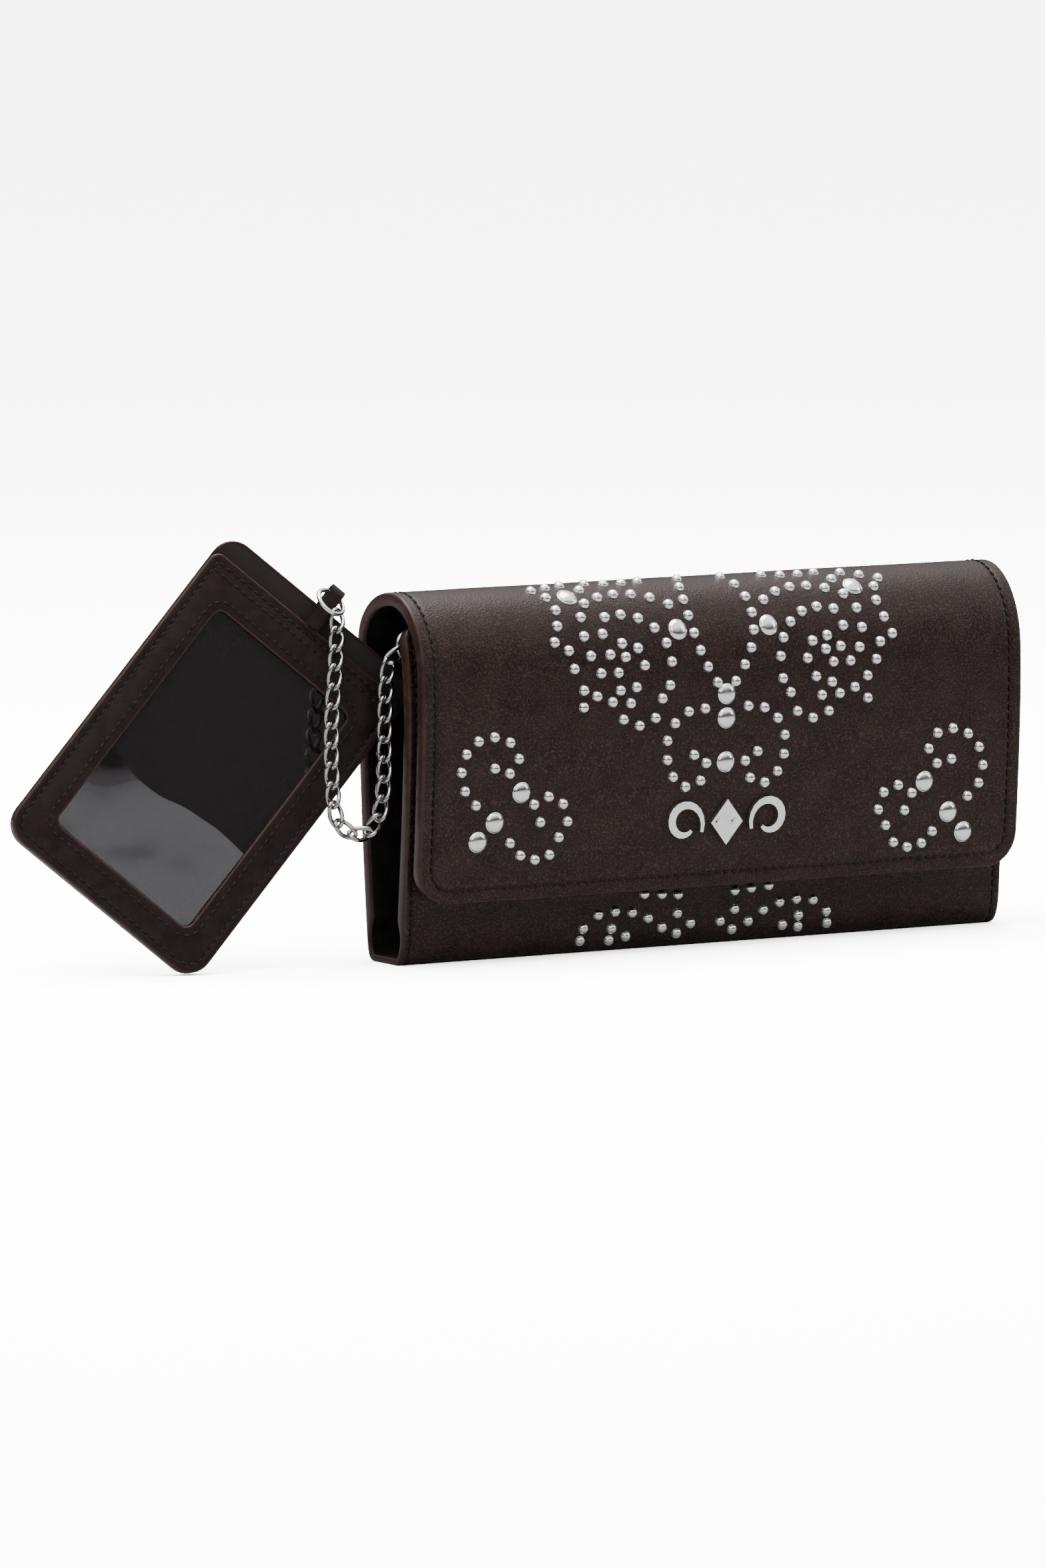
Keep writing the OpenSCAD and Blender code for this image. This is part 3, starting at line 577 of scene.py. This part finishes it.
# Studs: pressed brass caps, nickel plated and polished, whose prongs are clenched behind the leather.
# Small ones are round domes and large ones are low and wide, each over a thin rounded brim. They
# trace scrolls and wings, the same on both sides of the middle, and sit a little askew on the flap.


def make_marks():
    """The faint finger marks that plated metal carries, as one value."""
    tree = bpy.data.node_groups.new("plate_marks", "ShaderNodeTree")
    tree.interface.new_socket("Marks", in_out="OUTPUT", socket_type="NodeSocketFloat")
    result = node(tree, "NodeGroupOutput")
    place = node(tree, "ShaderNodeTexCoord")
    blots = node(tree, "ShaderNodeTexNoise")
    blots.inputs["Scale"].default_value = 420
    blots.inputs["Detail"].default_value = 4
    join(tree, (place.outputs["Object"], blots.inputs["Vector"]),
         (blots.outputs["Fac"], result.inputs["Marks"]))
    return tree


plate_marks = make_marks()


def make_nickel(name, tone, rough, scratch):
    """Polished plate, duller and darker under its marks."""
    made, tree, shader = new_finish(name)
    shader.inputs["Metallic"].default_value = 1
    marks = node(tree, "ShaderNodeGroup", node_tree=plate_marks)
    gloss = node(tree, "ShaderNodeMapRange")
    gloss.inputs["From Min"].default_value = 0.3
    gloss.inputs["From Max"].default_value = 0.75
    gloss.inputs["To Min"].default_value = rough
    gloss.inputs["To Max"].default_value = rough + scratch
    tint = node(tree, "ShaderNodeMix", data_type="RGBA")
    tint.inputs["A"].default_value = (*tone, 1)
    tint.inputs["B"].default_value = (*[0.8 * c for c in tone], 1)
    join(tree, (marks.outputs["Marks"], gloss.inputs["Value"]),
         (gloss.outputs["Result"], shader.inputs["Roughness"]),
         (marks.outputs["Marks"], tint.inputs["Factor"]),
         (tint.outputs["Result"], shader.inputs["Base Color"]))
    return made


nickel = make_nickel("nickel", tone=(0.88, 0.88, 0.89), rough=0.15, scratch=0.1)


def make_stud():
    tree, given, result = geometry_tree("stud_cap", ("Diameter", "Height", "Brim"))
    ball = node(tree, "GeometryNodeMeshUVSphere")
    ball.inputs["Segments"].default_value = 20
    ball.inputs["Rings"].default_value = 12
    ball.inputs["Radius"].default_value = 0.5
    waist = node(tree, "ShaderNodeMath", operation="SUBTRACT")
    double = node(tree, "ShaderNodeMath", operation="MULTIPLY")
    double.inputs[1].default_value = 2
    size = node(tree, "ShaderNodeCombineXYZ")
    dome = node(tree, "GeometryNodeTransform")
    brim = node(tree, "GeometryNodeTransform")
    brim_size = node(tree, "ShaderNodeCombineXYZ")
    both = node(tree, "GeometryNodeJoinGeometry")
    join(tree, (given.outputs["Diameter"], waist.inputs[0]), (given.outputs["Brim"], waist.inputs[1]),
         (given.outputs["Height"], double.inputs[0]), (waist.outputs[0], size.inputs["X"]),
         (waist.outputs[0], size.inputs["Y"]), (double.outputs[0], size.inputs["Z"]),
         (size.outputs[0], dome.inputs["Scale"]), (ball.outputs["Mesh"], dome.inputs["Geometry"]),
         (given.outputs["Diameter"], brim_size.inputs["X"]),
         (given.outputs["Diameter"], brim_size.inputs["Y"]),
         (given.outputs["Height"], brim_size.inputs["Z"]), (brim_size.outputs[0], brim.inputs["Scale"]),
         (ball.outputs["Mesh"], brim.inputs["Geometry"]), (brim.outputs["Geometry"], both.inputs["Geometry"]),
         (dome.outputs["Geometry"], both.inputs["Geometry"]))
    set_at_places(tree, given, result, both.outputs["Geometry"])
    return tree


stud_cap = make_stud()
small_stud = {"Diameter": 0.0033, "Height": 0.0014, "Brim": 0.00012}
large_stud = {"Diameter": 0.0061, "Height": 0.0012, "Brim": 0.0004}
swirl_curves = [[76, 50.5, 10.4, 120, -58, 7], [72.3, 55, 4.4, 180, 320, 3],
                [57.8, 38.2, 6.3, 40, 235, 5], [62, 36, 9.3, 238, 330, 4]]
wing_curves = [[8.5, 57, 11.2, -15, 97, 5], [12.2, 52, 5.8, 173, 332, 4], [28.8, 72, 8, 228, 310, 3],
               [33, 80.7, 15, 218, 72, 8], [35, 87, 16.4, -81, -6, 5], [85, 102, 32.8, 206, 188, 3],
               [32.8, 81.4, 5.9, 238, 27, 5], [27.7, 77.4, 8, -61, 48, 4], [28, 90.8, 17.8, -42, 14, 4],
               [30, 78.1, 24.9, 125, 60, 6], [47, 102.2, 6.6, 150, 0, 4], [29, 150, 41.5, 258, 282, 4],
               [-20.5, 95.7, 31, -40.5, 27, 8]]
single_spots = [(60.4, 37.3), (10.5, 55.2), (47, 69.4), (39.6, 90), (56.6, 105.6)]
large_spots = [(66.8, 45.6), (75.2, 37), (80.5, 31.4), (0, 52.7), (0, 65.1), (0, 71.9), (15, 90.7),
               (46.7, 102.4)]
front_spots = [(9.4, 14.9), (14.8, 15.3), (20.6, 15.7)]
fold_curves = [[30, -11.5, 24.9, 77, 129, 5]]
fold_spots = [(40.3, 9.2), (41, 5.6), (31, 8.6), (31.4, 5.1), (26, 6), (9.5, 11.7), (4.9, 8.5), (9.2, 5.8)]
fold_margin = 1.9
stud_skew = 0.0005
stud_sink = 0.12


def spots_on(curves):
    """Spots along arcs, each given as a centre (x, s), a radius, two angles and a count."""
    spots = []
    for x, s, r, start, end, count in curves:
        for i in range(count):
            a = math.radians(start + (end - start) * i / (count - 1))
            spots.append((x + r * math.cos(a), s + r * math.sin(a)))
    return spots


def mirrored(spots):
    """The spots, with those right of the middle once more on its left."""
    return spots + [(-x, s) for x, s in spots if x > 0.1]


def skewed(spots):
    """The spots let down towards the right, as the pattern sits on the flap."""
    return [(x, s - stud_skew * x * abs(x)) for x, s in spots]


def stud_row(name, skin, spots, size, body, cad_node):
    """Studs of one size on a skin, as one piece in place of the CAD's."""
    places = []
    for x, s in spots:
        out = skin.outward(s)
        spot = in_space(skin, x, s, swell(x, skin.at(s).y) - stud_sink)
        places.append((spot, (1, 0, 0), (0, out.x, out.y)))
    row = set_row(name, stud_cap, places, size, nickel)
    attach(row, body)
    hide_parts(cad_node)


flap_end_z = 17.5
fold_mark = fold_s + flap_end_z
small_spots = skewed(mirrored(spots_on(swirl_curves) + single_spots + spots_on(wing_curves)))
small_below = [(x, min(s, fold_mark - fold_margin) - flap_end_z) for x, s in small_spots if s < fold_mark]
small_above = [(x, max(s, fold_mark + fold_margin) - flap_end_z) for x, s in small_spots if s > fold_mark]
large_below = [(x, s - flap_end_z) for x, s in skewed(mirrored(large_spots)) if s < fold_mark]
large_above = [(x, s - flap_end_z) for x, s in skewed(mirrored(large_spots)) if s > fold_mark]
stud_row("studs_flap_small", flap_skin, small_below, small_stud, "flap", "flap_small_studs")
stud_row("studs_flap_large", flap_skin, large_below, large_stud, "flap", "flap_large_studs")
stud_row("studs_crest_small", flap_skin, small_above, small_stud, "spine", "spine_small_studs")
stud_row("studs_crest_large", flap_skin, large_above, large_stud, "spine", "spine_large_studs")
front_fold_z = 13
front_row = [(x, s - front_fold_z + front_fold_s) for x, s in mirrored(front_spots)]
stud_row("studs_front_small", front_skin, front_row, small_stud, "front_panel", "front_small_studs")
rest_half = 6
fold_row = [(x, s + rest_half) for x, s in mirrored(spots_on(fold_curves) + fold_spots)]
stud_row("studs_fold_small", front_skin, fold_row, small_stud, "wallet", "fold_small_studs")

# Metal of the flap and the inside: a cast ornament held by rivets, the two halves of a magnetic snap
# with their washers, the zip's teeth, stops, slider and pull, and the rivet of the wallet's ring
# tab. All are nickel plated.


def finish_nodes(finish, *names):
    """Gives nodes of the CAD a finish instead of their own."""
    for name in names:
        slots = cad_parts[name].data.materials
        slots.clear()
        slots.append(finish)


finish_nodes(nickel, "flap_ornament", "ornament_rivets", "snap_stud", "snap_stud_washer", "snap_socket",
             "snap_socket_washer", "zip_teeth_upper", "zip_teeth_lower", "zip_stops", "zip_slider",
             "zip_pull", "wallet_ring_tab_rivet")

# Inside: card slots, their divider and a zip pocket, cut from thin black lining leather, glued and
# sewn. The pocket is a front and a back wall round a gusset.
finish_nodes(lining_leather, "card_slot_layers", "card_slot_divider", "pocket_front_wall",
             "pocket_back_wall", "pocket_gusset")

# The zip's tape is black woven polyester, folded at the edge that carries the teeth.


def make_tape():
    """Woven tape: slanting rows of two dark tones with a fine height."""
    made, tree, shader = new_finish("zip_tape")
    shader.inputs["Roughness"].default_value = 0.85
    place = node(tree, "ShaderNodeTexCoord")
    rows = node(tree, "ShaderNodeTexWave", bands_direction="DIAGONAL")
    rows.inputs["Scale"].default_value = 900
    rows.inputs["Distortion"].default_value = 1
    tones = node(tree, "ShaderNodeMix", data_type="RGBA")
    tones.inputs["A"].default_value = (0.006, 0.006, 0.007, 1)
    tones.inputs["B"].default_value = (0.02, 0.019, 0.02, 1)
    bump = node(tree, "ShaderNodeBump")
    bump.inputs["Distance"].default_value = 0.0001
    join(tree, (place.outputs["Object"], rows.inputs["Vector"]),
         (rows.outputs["Fac"], tones.inputs["Factor"]),
         (tones.outputs["Result"], shader.inputs["Base Color"]), (rows.outputs["Fac"], bump.inputs["Height"]),
         (bump.outputs["Normal"], shader.inputs["Normal"]))
    return made


finish_nodes(make_tape(), "zip_tape_upper", "zip_tape_lower")

# Rings: round nickel wire, butted and polished. One hangs from the wallet's pocket and one from the
# card holder, each in a folded leather tab. The rivet of the holder's tab is covered in its leather.
ring_r = 4.2
ring_wire = 1.3
holder_swing = Matrix.Rotation(math.radians(-23), 3, "Z")
holder_roll = Matrix.Rotation(math.radians(40), 3, "Y")
holder_lean = Matrix.Rotation(math.radians(-13), 3, "X")
holder_turn = holder_swing @ holder_roll @ holder_lean
hx, hy, hz = holder_turn.col[0], holder_turn.col[1], holder_turn.col[2]
holder_w = 68.5
holder_l = 106
holder_t = 4.2
holder_corner = 7
floor_gap = 0.02
corner_drop = holder_corner * math.hypot(hx.z, hz.z) + holder_t / 2 * abs(hy.z)
holder_rise = corner_drop - (holder_w / 2 - holder_corner) * hx.z - holder_corner * hz.z + floor_gap
holder_origin = Vector((-181.5, 15.5, holder_rise))
tab_reach = 4.5
tab_slack = 0.4
ring_lean = math.radians(45)
ring_fall = -math.sin(ring_lean) * hy - math.cos(ring_lean) * hz
wallet_ring_at = Vector((-91, -1.6, 88.5))
holder_ring_at = holder_origin + (holder_l + tab_reach) * hz + (ring_r - tab_slack) * ring_fall


def wire_ring(name, centre, along, across, body):
    """A ring of round wire in the plane of two ways, as one closed mesh."""
    bm = bmesh.new()
    turns = 64
    sides = 14
    up = along.cross(across)
    loops = []
    for i in range(turns):
        a = 2 * math.pi * i / turns
        spoke = along * math.cos(a) + across * math.sin(a)
        loop = []
        for k in range(sides):
            b = 2 * math.pi * k / sides
            p = centre + spoke * (ring_r + ring_wire / 2 * math.cos(b)) + up * (ring_wire / 2 * math.sin(b))
            loop.append(bm.verts.new(p * MM))
        loops.append(loop)
    for i in range(turns):
        a, b = loops[i], loops[(i + 1) % turns]
        for k in range(sides):
            face = bm.faces.new((a[k], b[k], b[(k + 1) % sides], a[(k + 1) % sides]))
            face.smooth = True
    ring = keep(bm, name, nickel)
    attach(ring, body)
    return ring


ring_at_wallet = wire_ring("ring_at_wallet", wallet_ring_at, Vector((1, 0, 0)), Vector((0, 0, 1)), "wallet")
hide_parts("wallet_ring")
ring_at_holder = wire_ring("ring_at_holder", holder_ring_at, hx, ring_fall, "holder")
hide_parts("holder_ring")
holder_leather = leather("holder_leather", dark=(0.0045, 0.0023, 0.002), light=(0.0085, 0.0046, 0.004),
                         fleck=(0.03, 0.021, 0.019), rough=0.4, mottle_scale=220, fleck_scale=2400,
                         fleck_amount=0.18, depth=0.00004)
finish_nodes(holder_leather, "wallet_ring_tab", "holder_ring_tab", "holder_ring_tab_rivet")

# Chain: curb links of nickel wire, each twisted so that the row lies flat. It hangs from the
# wallet's ring in a loop and climbs to the holder's ring.
link_count = 23
link_wire = 1.0
shown_wire = 1.3
link_half = 3.48
link_half_w = 1.65
link_twist = 1.1
hook_gap = 0.08
hook = ring_r - ring_wire / 2 - link_wire / 2 - hook_gap
first_reach = hook + 0.4
last_reach = hook + 0.5
start_way = Vector((-0.9, -0.12, -0.42)).normalized()
ring_normal = hx.cross(ring_fall)
down = Vector((0, 0, -1))
hang = (down - down.dot(ring_normal) * ring_normal).normalized()
chain_route = [wallet_ring_at + first_reach * start_way, Vector((-99, -3, 84)), Vector((-101, -4.8, 76)),
               Vector((-102.5, -6.6, 64)), Vector((-103.5, -8, 50.5)), Vector((-106, -8.6, 40.5)),
               Vector((-112, -8.8, 37)), Vector((-118.5, -8, 41)), Vector((-119, -6.2, 51)),
               Vector((-117, -2.4, 68)), Vector((-113.6, 1.2, 84)), holder_ring_at + last_reach * hang]


def smooth_route(points, steps):
    """A smooth line through the points."""
    line = []
    last = len(points) - 1
    for i in range(last):
        a, b, c, d = points[max(i - 1, 0)], points[i], points[i + 1], points[min(i + 2, last)]
        for k in range(steps):
            f = k / steps
            line.append(0.5 * (2 * b + (c - a) * f + (2 * a - 5 * b + 4 * c - d) * f * f
                               + (3 * b - a - 3 * c + d) * f * f * f))
    return line + [points[-1]]


def make_link():
    """One link: a round wire along a ring drawn out long and bent up and down at its quarters."""
    tree, given, result = geometry_tree("curb_link", ("Half Length", "Half Width", "Twist", "Wire"))
    loop = node(tree, "GeometryNodeCurvePrimitiveCircle")
    loop.inputs["Resolution"].default_value = 28
    loop.inputs["Radius"].default_value = 1
    where = node(tree, "GeometryNodeInputPosition")
    parts = node(tree, "ShaderNodeSeparateXYZ")
    long_way = node(tree, "ShaderNodeMath", operation="MULTIPLY")
    wide_way = node(tree, "ShaderNodeMath", operation="MULTIPLY")
    product = node(tree, "ShaderNodeMath", operation="MULTIPLY")
    rise = node(tree, "ShaderNodeMath", operation="MULTIPLY")
    place = node(tree, "ShaderNodeCombineXYZ")
    bend = node(tree, "GeometryNodeSetPosition")
    section = node(tree, "GeometryNodeCurvePrimitiveCircle")
    section.inputs["Resolution"].default_value = 9
    half_wire = node(tree, "ShaderNodeMath", operation="MULTIPLY")
    half_wire.inputs[1].default_value = 0.5
    sweep = node(tree, "GeometryNodeCurveToMesh")
    join(tree, (where.outputs[0], parts.inputs[0]), (parts.outputs["X"], long_way.inputs[0]),
         (given.outputs["Half Length"], long_way.inputs[1]), (parts.outputs["Y"], wide_way.inputs[0]),
         (given.outputs["Half Width"], wide_way.inputs[1]), (parts.outputs["X"], product.inputs[0]),
         (parts.outputs["Y"], product.inputs[1]), (product.outputs[0], rise.inputs[0]),
         (given.outputs["Twist"], rise.inputs[1]), (long_way.outputs[0], place.inputs["X"]),
         (wide_way.outputs[0], place.inputs["Y"]), (rise.outputs[0], place.inputs["Z"]),
         (loop.outputs["Curve"], bend.inputs["Geometry"]), (place.outputs[0], bend.inputs["Position"]),
         (given.outputs["Wire"], half_wire.inputs[0]), (half_wire.outputs[0], section.inputs["Radius"]),
         (bend.outputs["Geometry"], sweep.inputs["Curve"]),
         (section.outputs["Curve"], sweep.inputs["Profile Curve"]))
    set_at_places(tree, given, result, sweep.outputs["Mesh"])
    return tree


curb_link = make_link()
# The chain's plate is a darker copy of the studs' nickel: painted shade, standing in for the shade on the
# chain's links.
shaded_chain_nickel = make_nickel("shaded_chain_nickel", tone=(0.42, 0.4, 0.375), rough=0.12, scratch=0.1)
route_steps = 24
route = Line(smooth_route(chain_route, route_steps))
joints = [route.at(route.length * i / link_count) for i in range(link_count + 1)]
toward_front = Vector((-0.45, -0.88, 0.1))
links = []
for a, b in zip(joints, joints[1:]):
    along = (b - a).normalized()
    out = (toward_front - toward_front.dot(along) * along).normalized()
    links.append(((a + b) / 2 * MM, along, out))
link_size = {"Half Length": link_half * MM, "Half Width": link_half_w * MM, "Twist": 2 * link_twist * MM,
             "Wire": shown_wire * MM}
chain_links = set_row("curb_chain", curb_link, links, link_size, shaded_chain_nickel)
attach(chain_links, "chain")
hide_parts("chain_flat_links", "chain_edge_links")

# Card holder: a smooth dark leather back and a lower front frame, joined by a welt round three sides
# and sewn. The frame's opening holds a clear sheet, and every cut edge is rounded and painted.
leather_t = 1.2
front_lip = 7
window_margin = 10.5
window_top_margin = 12.5
window_corner = 2.5
frame_top_corner = 3
plate_edge_r = 0.55
holder_seam_in = 2.4
window_seam_out = 2.6
slot_seam_drop = 4.8


def rounded_box(half_x, low_z, high_z, low_r, high_r, inset):
    """A rectangle with round corners, drawn inwards by inset, counterclockwise from its lower right."""
    points = []
    for cx, cz, r, start in ((1, low_z, low_r, -90), (1, high_z, high_r, 0), (-1, high_z, high_r, 90),
                             (-1, low_z, low_r, 180)):
        centre_x = cx * (half_x - r)
        centre_z = cz + r if cz == low_z else cz - r
        for i in range(9):
            a = math.radians(start + 90 * i / 8)
            points.append((centre_x + (r - inset) * math.cos(a), centre_z + (r - inset) * math.sin(a)))
    return points


def in_holder(x, y, z):
    """The place in metres of a point in the holder's own millimetres."""
    return (holder_origin + x * hx + y * hy + z * hz) * MM


def leather_plate(name, outline, hole, front_y, back_y, seams, cad_nodes):
    """A leather plate with rounded painted edges and a pressed line where it is sewn. Its front is at
    front_y. outline and hole are the arguments of rounded_box, and seams are insets from the outline."""
    r = plate_edge_r
    profile = [(r, back_y, 1)]
    for turn in (60, 30, 0):
        a = math.radians(turn)
        profile.append((r - r * math.cos(a), back_y - r + r * math.sin(a), 1))
    for turn in (0, 30, 60, 90):
        a = math.radians(turn)
        profile.append((r - r * math.cos(a), front_y + r - r * math.sin(a), 1))
    for seam in seams:
        for offset, depth in ((-0.6, 0), (-0.3, 0.07), (0, 0.16), (0.3, 0.07), (0.6, 0)):
            profile.append((seam + offset, front_y + depth, 0))
    bm = bmesh.new()
    loops = [([bm.verts.new(in_holder(x, y, z)) for x, z in rounded_box(*outline, inset)], kind)
             for inset, y, kind in profile]
    if hole:
        inner = [(-0.6 - r, front_y, 0), (-r, front_y, 1)]
        for turn in (60, 30, 0):
            a = math.radians(turn)
            inner.append((-r + r * math.cos(a), front_y + r - r * math.sin(a), 1))
        for turn in (0, 30, 60, 90):
            a = math.radians(turn)
            inner.append((-r + r * math.cos(a), back_y - r + r * math.sin(a), 1))
        loops += [([bm.verts.new(in_holder(x, y, z)) for x, z in rounded_box(*hole, inset)], kind)
                  for inset, y, kind in inner]
        loops.append(loops[0])
    for (a, kind_a), (b, kind_b) in zip(loops, loops[1:]):
        for k in range(len(a)):
            q = (k + 1) % len(a)
            face = bm.faces.new((a[k], a[q], b[q], b[k]))
            face.material_index = 1 if kind_a and kind_b else 0
            face.smooth = True
    if not hole:
        bm.faces.new(loops[0][0])
        bm.faces.new(loops[-1][0])
    plate = keep(bm, name, holder_leather, painted_edge)
    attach(plate, "holder")
    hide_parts(*cad_nodes)


half_t = holder_t / 2
holder_half = holder_w / 2
frame_top = holder_l - front_lip
frame_outline = (holder_half, 0, frame_top, holder_corner, frame_top_corner)
window_outline = (holder_half - window_margin, window_margin, frame_top - window_top_margin, window_corner,
                  window_corner)
leather_plate("holder_front_leather", frame_outline, window_outline, -half_t, -half_t + leather_t,
              (holder_seam_in,), ("holder_front_frame",))
leather_plate("holder_back_leather", (holder_half, 0, holder_l, holder_corner, holder_corner), None,
              half_t - leather_t, half_t, (), ("holder_back",))
finish_nodes(painted_edge, "holder_welt")
holder_cloth = leather("holder_cloth", dark=(0.006, 0.0036, 0.0045), light=(0.009, 0.0056, 0.007),
                       fleck=(0.016, 0.012, 0.014), rough=0.6, mottle_scale=60, fleck_scale=2600,
                       fleck_amount=0.2, depth=0.00001)
finish_nodes(holder_cloth, "holder_lining")
holder_stitch_size = {"Length": 0.0021, "Width": 0.0007, "Height": 0.0006}
holder_stitch_pitch = 2.5
holder_stitch_sink = 0.05


def sew_holder(name, line):
    """A seam on the front frame along a line of (x, z)."""
    places = []
    for spot, onward in along_line(line, holder_stitch_pitch):
        start = in_holder(spot.x, -half_t + holder_stitch_sink, spot.y)
        run = in_holder(onward.x, -half_t + holder_stitch_sink, onward.y) - start
        places.append((start, run.normalized(), -hy))
    seam = set_row(name, thread_stitch, places, holder_stitch_size, thread)
    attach(seam, "holder")


edge_line = rounded_box(*frame_outline, holder_seam_in)
window_line = rounded_box(*window_outline, -window_seam_out)
slot_line = [(-holder_half + holder_seam_in, frame_top - slot_seam_drop),
             (holder_half - holder_seam_in, frame_top - slot_seam_drop)]
sew_holder("holder_edge_stitches", edge_line + edge_line[:1])
sew_holder("holder_window_stitches", window_line + window_line[:1])
sew_holder("holder_slot_stitches", slot_line)

# Window: a sheet of clear soft vinyl, glued behind the opening. It leans back below a wavy line,
# as a slack sheet does, and so reflects the floor there.
slack_wave = 0.02
slack_slope = 0.2
slack_rise = 0.038
slack_line = (holder_origin * MM).dot(hz) + slack_rise + slack_wave / 2


def make_sheet():
    """Clear and glossy, with the lean of its slack part given as a height."""
    made, tree, shader = new_finish("clear_window")
    shader.inputs["Base Color"].default_value = (0.85, 0.82, 0.86, 1)
    shader.inputs["Roughness"].default_value = 0.05
    shader.inputs["Transmission Weight"].default_value = 1
    shader.inputs["IOR"].default_value = 1.58
    place = node(tree, "ShaderNodeTexCoord")
    waves = node(tree, "ShaderNodeTexNoise")
    waves.inputs["Scale"].default_value = 22
    waves.inputs["Detail"].default_value = 1.5
    height_up = node(tree, "ShaderNodeVectorMath", operation="DOT_PRODUCT")
    height_up.inputs[1].default_value = hz
    wavy = node(tree, "ShaderNodeMath", operation="MULTIPLY_ADD")
    wavy.inputs[1].default_value = slack_wave
    below = node(tree, "ShaderNodeMath", operation="SUBTRACT")
    below.inputs[1].default_value = slack_line
    slack = node(tree, "ShaderNodeMath", operation="MINIMUM")
    slack.inputs[1].default_value = 0
    sag = node(tree, "ShaderNodeMath", operation="MULTIPLY")
    sag.inputs[1].default_value = slack_slope
    bump = node(tree, "ShaderNodeBump")
    bump.inputs["Strength"].default_value = 1
    bump.inputs["Distance"].default_value = 1
    join(tree, (place.outputs["Object"], waves.inputs["Vector"]),
         (place.outputs["Object"], height_up.inputs[0]),
         (waves.outputs["Fac"], wavy.inputs[0]), (height_up.outputs["Value"], wavy.inputs[2]),
         (wavy.outputs[0], below.inputs[0]), (below.outputs[0], slack.inputs[0]),
         (slack.outputs[0], sag.inputs[0]),
         (sag.outputs[0], bump.inputs["Height"]), (bump.outputs["Normal"], shader.inputs["Normal"]))
    return made


finish_nodes(make_sheet(), "holder_window")
